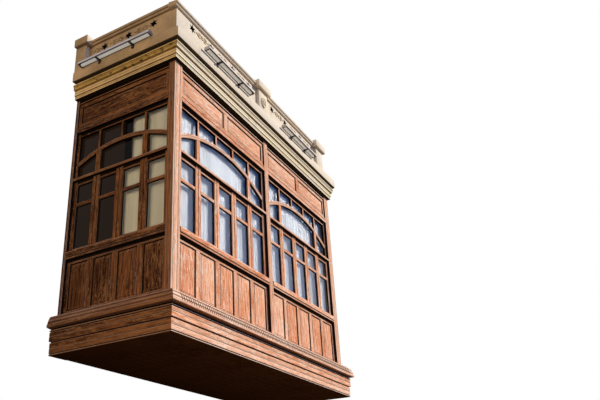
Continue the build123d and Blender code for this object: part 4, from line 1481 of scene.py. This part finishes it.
def bar_hood(work, face, start, end):
    """A folded hood, open below and dark inside, with a cap on each end."""
    z, top, width = BAR_Z, BARS_HIGH.z, BAR_WIDTH
    back = [(0.0, z), (0.0, top - 0.012), (0.012, top), (width - 0.010, top), (width, top - 0.008)]
    lip = z + 0.016
    hood = [
        *back, (width, lip), (width - 0.003, lip, 1), (width - 0.003, top - 0.010, 1),
        (width - 0.012, top - 0.003, 1), (0.014, top - 0.003, 1), (0.003, top - 0.014, 1),
        (0.003, z),
    ]
    cap = [*back, (width, z + 0.012), (width - 0.012, z)]
    work.straight(face, start + 0.004, end - 0.004, hood, cut=0.001)
    work.straight(face, start, start + 0.004, cap, cut=0.001)
    work.straight(face, end - 0.004, end, cap, cut=0.001)
    for holder in (start + 0.012, end - 0.032):
        work.board(face, (holder, holder + 0.020), (z + 0.004, top - 0.004), (0.006, 0.060),
                   UPRIGHT, ease=0.001, grime_and_shade=1.0)


def bar_lamp(work, face, start, end):
    """A faceted opal strip between two dark holders, near the wall side of the hood."""
    z, middle = BAR_Z, 0.034
    strip = [
        (middle - 0.024, z + 0.030), (middle - 0.024, z + 0.012), (middle - 0.013, z + 0.003),
        (middle + 0.013, z + 0.003), (middle + 0.024, z + 0.012), (middle + 0.024, z + 0.030),
    ]
    work.straight(face, start + 0.030, end - 0.030, strip, cut=0.002)


def bar_bracket(work, face, along, reach):
    """A steel strap under the hood, with a foot on the slab and a clamp over its edge."""
    across = (along - 0.020, along + 0.020)
    level = PARAPET_Z
    for height, out, ease in (
        ((level, level + 0.006), (-reach, 0.0), 0.001),
        ((level, BARS_HIGH.z), (-0.006, -0.0005), 0.001),
        ((level + 0.001, BAR_Z - 0.0005), (-0.004, BAR_WIDTH + 0.003), 0.001),
        ((level - 0.052, level + 0.001), (0.0, 0.016), 0.002),
    ):
        work.board(face, across, height, out, UPRIGHT, ease=ease, grime_and_shade=1.0)
    for side in (0.010, BAR_WIDTH - 0.046):
        work.board(face, (along - 0.007, along + 0.007), (level - 0.004, level + 0.001),
                   (side, side + 0.036), UPRIGHT, ease=0.001)


def bar_screws(work, face, along):
    """Two pan-head screws in a clamp. Their rings are (radius, out)."""
    rings = ((0.0055, 0.015), (0.0055, 0.0175), (0.0035, 0.0195))
    for height in (-0.014, -0.038):
        points = [
            face.at(along + radius * math.cos(math.pi * i / 4),
                    PARAPET_Z + height + radius * math.sin(math.pi * i / 4), out)
            for radius, out in rings for i in range(8)
        ]
        faces = [(list(range(8)), 0.0, 0.0), (list(range(16, 24)), 0.0, 0.0)]
        for ring, i in itertools.product(range(2), range(8)):
            j = (i + 1) % 8
            low = ring * 8
            faces.append(([low + i, low + j, low + 8 + j, low + 8 + i], 0.0, 0.0))
        work.solid(points, faces, UPRIGHT)


def build_light_bars(glazing):
    steel = coated_steel("powder_coated_steel", glazing.housing, glazing.reflector)
    black = coated_steel("black_painted_steel", glazing.housing, glazing.bracket)
    opal = opal_cover("opal_acrylic", glazing.lens)
    right_low, right_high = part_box("light_bar_right")
    right_reach = right_high.x - right_low.x - BAR_WIDTH
    reach = PARAPET_FACE_Y - SLAB_LOW.y
    side_run = (-SIDE_BAR_HIGH.y, -SIDE_BAR_LOW.y)
    for node, side, runs, foot in (
        ("light_bars_front", FRONT, [(BARS_LOW.x, BAR_GAP[0]), (BAR_GAP[1], BARS_HIGH.x)], reach),
        ("light_bar_left", LEFT, [side_run], reach),
        ("light_bar_right", RIGHT, [side_run], right_reach),
    ):
        face = side.moved_out(SLAB_OUT)
        hood, lamp = Joinery(105), Joinery(106)
        for run, (start, end) in enumerate(runs, 1):
            bar_hood(hood, face, start, end)
            bar_lamp(lamp, face, start, end)
            first, last = start + BRACKET_INSET, end - BRACKET_INSET
            step = face.along * (last - first)
            bracket, screws = Joinery(107), Joinery(108)
            bar_bracket(bracket, face, first, foot)
            bar_screws(screws, face, first)
            for kind, work, finish in (("brackets", bracket, black), ("screws", screws, steel)):
                row = row_of(work.mesh(kind), (0, 0, 0), step, 2, finish)
                add_piece(f"{node}_{kind}_{run}", row, finish)
        add_piece(f"{node}_hood", hood.mesh("hood"), steel, [node])
        add_piece(f"{node}_lamp", lamp.mesh("lamp"), opal)


def build_floor():
    dark, finish = soffit_finish(), timber_finish()
    low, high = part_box("soffit")
    level = (low.z, high.z)
    inner = low.y + SOFFIT_TRIM
    trim = Joinery(91)
    trim.board(FLOOR, (low.x, high.x), level, (low.y, inner), 0, ease=0.004)
    for side in (low.x, high.x - SOFFIT_TRIM):
        trim.board(FLOOR, (side, side + SOFFIT_TRIM), level, (inner, high.y), 1, ease=0.004)
    depth = high.y - low.y - SOFFIT_TRIM
    count = round(depth / SOFFIT_BOARD)
    pitch = depth / count
    board = Joinery(92)
    board.board(FLOOR, (low.x + SOFFIT_TRIM, high.x - SOFFIT_TRIM), (low.z + 0.004, high.z),
                (0, pitch - 0.003), 0, ease=0.004)
    boards = row_of(board.mesh("soffit_board"), (0, inner, 0), (0, pitch, 0), count, dark,
                    (0, 0, 0.002), seed=7)
    add_piece("soffit_trim", trim.mesh("soffit_trim"), dark, ["soffit"])
    add_piece("soffit_boards", boards, dark, smooth=False)
    low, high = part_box("floor_deck")
    pitch = (high.y - low.y) / DECK_BOARDS
    board = Joinery(93)
    board.board(FLOOR, (low.x, high.x), (low.z, high.z), (0, pitch - 0.0015), 0, ease=0.002)
    boards = row_of(board.mesh("deck_board"), (0, low.y, 0), (0, pitch, 0), DECK_BOARDS, finish,
                    seed=9)
    add_piece("floor_deck_boards", boards, finish, ["floor_deck"], smooth=False)
    low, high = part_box("wall_ledger")
    ledger = Joinery(94)
    ledger.board(FLOOR, (low.x, high.x), (low.z, high.z), (low.y, high.y), 0, ease=0.006)
    add_piece("wall_ledger_timber", ledger.mesh("ledger"), finish,
              ["wall_ledger"])


def hung_curtain(name, node, along_axis, finish, seed, fold, inwards):
    """A pleated curtain in the space of its solid.

    Its folds differ in width, depth and lean, and swing out further at the foot.
    """
    low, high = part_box(node)
    width = high[along_axis] - low[along_axis]
    depth_axis = 1 - along_axis
    middle = (low[depth_axis] + high[depth_axis]) / 2
    amplitude = (high[depth_axis] - low[depth_axis]) / 2 - 0.002
    chance = random.Random(seed)
    edges = [0.0]
    while edges[-1] < width:
        edges.append(edges[-1] + fold * chance.uniform(0.55, 1.75))
    folds = len(edges) - 1
    depths = [chance.uniform(0.12, 1.0) ** 1.4 for _ in edges]
    leans = [chance.uniform(-0.5, 0.5) for _ in edges]
    steps_per_fold, up = 12, 34
    across = folds * steps_per_fold
    points = []
    for row in range(up + 1):
        level = row / up
        for column in range(across + 1):
            part = column / across * width
            i = max(k for k in range(folds) if edges[k] <= part)
            mix = (part - edges[i]) / (edges[i + 1] - edges[i])
            eased_mix = mix * mix * (3 - 2 * mix)
            depth = depths[i] * (1 - eased_mix) + depths[i + 1] * eased_mix
            lean = leans[i] * (1 - eased_mix) + leans[i + 1] * eased_mix
            wave = math.sin(2 * math.pi * mix + lean * (1 - level) * 2.0)
            point = [0, 0, low.z + level * (high.z - low.z)]
            point[along_axis] = low[along_axis] + part
            billow = 0.7 * depth * wave * (1.0 - 0.3 * level)
            point[depth_axis] = middle + amplitude * (0.3 * inwards + billow)
            points.append(Vector(point))
    faces = []
    for row in range(up):
        for column in range(across):
            a = row * (across + 1) + column
            faces.append([a, a + 1, a + across + 2, a + across + 1])
    mesh = bpy.data.meshes.new(name)
    mesh.from_pydata(points, [], faces)
    girth = [0.0]
    for column in range(across):
        girth.append(girth[-1] + (points[column + 1] - points[column]).length)
    layer = mesh.uv_layers.new(name="grain")
    for loop in mesh.loops:
        row, column = divmod(loop.vertex_index, across + 1)
        layer.data[loop.index].uv = (girth[column], points[loop.vertex_index].z)
    piece = add_piece(name, mesh, finish, [node])
    return piece


def build_curtains(glazing):
    front = cotton_voile("white_cotton_voile", glazing.curtain, glazing.inside_colour, 0.3)
    side = cotton_voile("unbleached_cotton", glazing.side_curtain, glazing.side_curtain, 0.3)
    for place, axis, finish, seed, rails, inwards in (
        ("front_left", 0, front, 101, "front", 1), ("front_right", 0, front, 102, "front", 1),
        ("left", 1, side, 103, "left", 1), ("right", 1, side, 104, "right", -1),
    ):
        hung_curtain(f"curtain_{place}_cloth", f"curtain_{place}", axis, finish, seed,
                     glazing.fold_width, inwards)


def seen_by_eye(tree):
    """1 for rays that see the background, also in metal and through glass, and 0 for its light.

    A ray that left a matt surface carries light, even where it then passes through a pane.
    """
    path = add_node(tree, "ShaderNodeLightPath", output=None)
    seen = add_node(tree, "ShaderNodeMath", {
        0: path["Is Camera Ray"], 1: path["Is Glossy Ray"]}, operation="MAXIMUM")
    seen = add_node(tree, "ShaderNodeMath", {
        0: seen, 1: path["Is Transmission Ray"]}, operation="MAXIMUM")
    direct = add_node(tree, "ShaderNodeMath", {
        0: path["Diffuse Depth"], 1: 0.5}, operation="LESS_THAN")
    return add_node(tree, "ShaderNodeMath", {0: seen, 1: direct}, operation="MULTIPLY")


def stage_object(name, data):
    """An object for the stage."""
    added = bpy.data.objects.new(name, data)
    bpy.context.scene.collection.objects.link(added)
    return added


def add_floor(stage, reach=60.0):
    """A plain pale floor below the bay."""
    level = BASE_Z - stage.floor_drop
    floor = bpy.data.meshes.new("floor")
    floor.from_pydata(
        [(reach * (2 * a - 1), reach * (2 * b - 1), level) for a, b in SQUARE], [], [[0, 1, 2, 3]]
    )
    material, tree, shader = new_material("pale_floor", Roughness=0.9)
    colour = add_node(tree, "ShaderNodeMix", {
        0: seen_by_eye(tree), 6: stage.floor_seen_by_light, 7: stage.floor}, **BLEND)
    link_shader(tree, shader, Base_Color=colour)
    floor.materials.append(material)
    stage_object("floor", floor)


def light_world(stage):
    """Soft light from all round, which the eye sees as a white background."""
    world = bpy.data.worlds.new("studio")
    world.use_nodes = True
    bpy.context.scene.world = world
    tree = world.node_tree
    seen = seen_by_eye(tree)
    strength = add_node(tree, "ShaderNodeMapRange", {
        "Value": seen, "To Min": stage.fill_strength, "To Max": 1.0})
    colour = add_node(tree, "ShaderNodeMix", {0: seen, 6: stage.fill, 7: (1, 1, 1, 1)}, **BLEND)
    link_shader(tree, tree.nodes["Background"], Color=colour, Strength=strength)


def add_sun(name, strength, spread, colour, towards):
    """A sun lamp that stands in one direction."""
    lamp = bpy.data.lights.new(name, "SUN")
    lamp.energy = strength
    lamp.angle = spread
    lamp.color = colour
    stage_object(name, lamp).rotation_euler = towards.to_track_quat("Z", "Y").to_euler()


def add_camera():
    """A camera at the photograph's place and angle, with as little shift as its framing allows."""
    camera = bpy.data.cameras.new("camera")
    camera.sensor_width = 36.0
    camera.lens = 39.363
    camera.shift_x = 0.0770
    camera.shift_y = 0.0600
    camera.clip_end = 200.0
    heading, pitch, roll = math.radians(29.36), math.radians(24.01), math.radians(-2.0)
    turned = (
        Matrix.Rotation(heading - math.pi / 2, 4, "Z")
        @ Matrix.Rotation(math.pi / 2 + pitch, 4, "X")
        @ Matrix.Rotation(roll, 4, "Z")
    )
    viewer = stage_object("camera", camera)
    viewer.matrix_world = Matrix.Translation((-8.0025, -5.9750, -2.1268)) @ turned
    bpy.context.scene.camera = viewer


def build_stage(stage):
    """A pale floor, a sun lamp, light from all round and the camera at the photograph's angle."""
    bpy.context.scene.view_settings.view_transform = "Standard"
    add_floor(stage)
    light_world(stage)
    towards = Vector((
        math.sin(stage.key_turn) * math.cos(stage.key_rise),
        -math.cos(stage.key_turn) * math.cos(stage.key_rise),
        math.sin(stage.key_rise),
    ))
    add_sun("key", stage.key_strength, stage.key_spread, (1.0, 0.92, 0.81), towards)
    add_sun("side", stage.side_strength, stage.side_spread, (1.0, 0.87, 0.68),
            Vector((-1, 0.10, 0.32)))
    add_camera()


class WINDOW_BAY_OT_base(bpy.types.Operator):
    """Build the stepped base with its ribbed slope"""

    bl_idname = "window_bay.base"
    bl_label = "Base moulding"

    def execute(self, context):
        build_base(context.scene.bay_timber)
        return {"FINISHED"}


class WINDOW_BAY_OT_posts(bpy.types.Operator):
    """Build the corner, middle and wall posts"""

    bl_idname = "window_bay.posts"
    bl_label = "Posts"

    def execute(self, context):
        build_posts()
        return {"FINISHED"}


class WINDOW_BAY_OT_rails(bpy.types.Operator):
    """Build the sill, transom and frieze rails"""

    bl_idname = "window_bay.rails"
    bl_label = "Rails"

    def execute(self, context):
        build_rails()
        return {"FINISHED"}


class WINDOW_BAY_OT_panelling(bpy.types.Operator):
    """Build the raised panels under the windows"""

    bl_idname = "window_bay.panelling"
    bl_label = "Panelling"

    def execute(self, context):
        build_panelling(context.scene.bay_timber)
        return {"FINISHED"}


class WINDOW_BAY_OT_casements(bpy.types.Operator):
    """Build the casement sashes"""

    bl_idname = "window_bay.casements"
    bl_label = "Casements"

    def execute(self, context):
        build_casements(context.scene.bay_timber)
        return {"FINISHED"}


class WINDOW_BAY_OT_fanlights(bpy.types.Operator):
    """Build the fanlights with their arched bars"""

    bl_idname = "window_bay.fanlights"
    bl_label = "Fanlights"

    def execute(self, context):
        build_fanlights(context.scene.bay_timber)
        return {"FINISHED"}


class WINDOW_BAY_OT_frieze(bpy.types.Operator):
    """Build the frieze panels"""

    bl_idname = "window_bay.frieze"
    bl_label = "Frieze"

    def execute(self, context):
        build_frieze(context.scene.bay_timber)
        return {"FINISHED"}


class WINDOW_BAY_OT_floor(bpy.types.Operator):
    """Build the soffit boards, the floor deck and the wall ledger"""

    bl_idname = "window_bay.floor"
    bl_label = "Floor and soffit"

    def execute(self, context):
        build_floor()
        return {"FINISHED"}


class WINDOW_BAY_OT_cornice(bpy.types.Operator):
    """Build the painted cornice"""

    bl_idname = "window_bay.cornice"
    bl_label = "Cornice"

    def execute(self, context):
        build_cornice(context.scene.bay_masonry)
        return {"FINISHED"}


class WINDOW_BAY_OT_roof(bpy.types.Operator):
    """Render the roof slab"""

    bl_idname = "window_bay.roof"
    bl_label = "Roof slab"

    def execute(self, context):
        build_roof()
        return {"FINISHED"}


class WINDOW_BAY_OT_parapet(bpy.types.Operator):
    """Plaster the parapet with its pierced stars"""

    bl_idname = "window_bay.parapet"
    bl_label = "Parapet"

    def execute(self, context):
        build_parapet(context.scene.bay_masonry)
        return {"FINISHED"}


class WINDOW_BAY_OT_coping(bpy.types.Operator):
    """Plaster the coping and pier caps"""

    bl_idname = "window_bay.coping"
    bl_label = "Coping"

    def execute(self, context):
        build_coping()
        return {"FINISHED"}


class WINDOW_BAY_OT_glazing(bpy.types.Operator):
    """Finish the panes of glass"""

    bl_idname = "window_bay.glazing"
    bl_label = "Glazing"

    def execute(self, context):
        build_glazing(context.scene.bay_glazing)
        return {"FINISHED"}


class WINDOW_BAY_OT_curtains(bpy.types.Operator):
    """Hang the pleated curtains"""

    bl_idname = "window_bay.curtains"
    bl_label = "Curtains"

    def execute(self, context):
        build_curtains(context.scene.bay_glazing)
        return {"FINISHED"}


class WINDOW_BAY_OT_light_bars(bpy.types.Operator):
    """Build the light bars on the slab's edge"""

    bl_idname = "window_bay.light_bars"
    bl_label = "Light bars"

    def execute(self, context):
        build_light_bars(context.scene.bay_glazing)
        return {"FINISHED"}


class WINDOW_BAY_OT_stage(bpy.types.Operator):
    """Set up the floor, the lamps and the camera"""

    bl_idname = "window_bay.stage"
    bl_label = "Stage"

    def execute(self, context):
        build_stage(context.scene.bay_stage)
        return {"FINISHED"}


OPERATORS = (
    WINDOW_BAY_OT_stage, WINDOW_BAY_OT_base, WINDOW_BAY_OT_posts, WINDOW_BAY_OT_rails,
    WINDOW_BAY_OT_panelling, WINDOW_BAY_OT_casements, WINDOW_BAY_OT_fanlights,
    WINDOW_BAY_OT_frieze, WINDOW_BAY_OT_floor, WINDOW_BAY_OT_cornice, WINDOW_BAY_OT_roof,
    WINDOW_BAY_OT_parapet, WINDOW_BAY_OT_coping, WINDOW_BAY_OT_glazing, WINDOW_BAY_OT_curtains,
    WINDOW_BAY_OT_light_bars,
)
SETTINGS = {
    "bay_timber": TimberSettings,
    "bay_masonry": MasonrySettings,
    "bay_glazing": GlazingSettings,
    "bay_stage": StageSettings,
}


class WINDOW_BAY_PT_panel(bpy.types.Panel):
    """Lists the pieces of the window bay"""

    bl_idname = "WINDOW_BAY_PT_panel"
    bl_label = "Window Bay"
    bl_space_type = "VIEW_3D"
    bl_region_type = "UI"
    bl_category = "Window Bay"

    def draw(self, context):
        for operator in OPERATORS:
            self.layout.operator(operator.bl_idname)


def register():
    for kind in (*SETTINGS.values(), *OPERATORS, WINDOW_BAY_PT_panel):
        bpy.utils.register_class(kind)
    for name, kind in SETTINGS.items():
        setattr(bpy.types.Scene, name, PointerProperty(type=kind))


def unregister():
    for name in SETTINGS:
        delattr(bpy.types.Scene, name)
    for kind in (WINDOW_BAY_PT_panel, *OPERATORS, *SETTINGS.values()):
        bpy.utils.unregister_class(kind)


def main():
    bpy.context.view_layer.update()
    register()
    for operator in OPERATORS:
        family, name = operator.bl_idname.split(".")
        getattr(getattr(bpy.ops, family), name)()


if __name__ == "__main__":
    main()
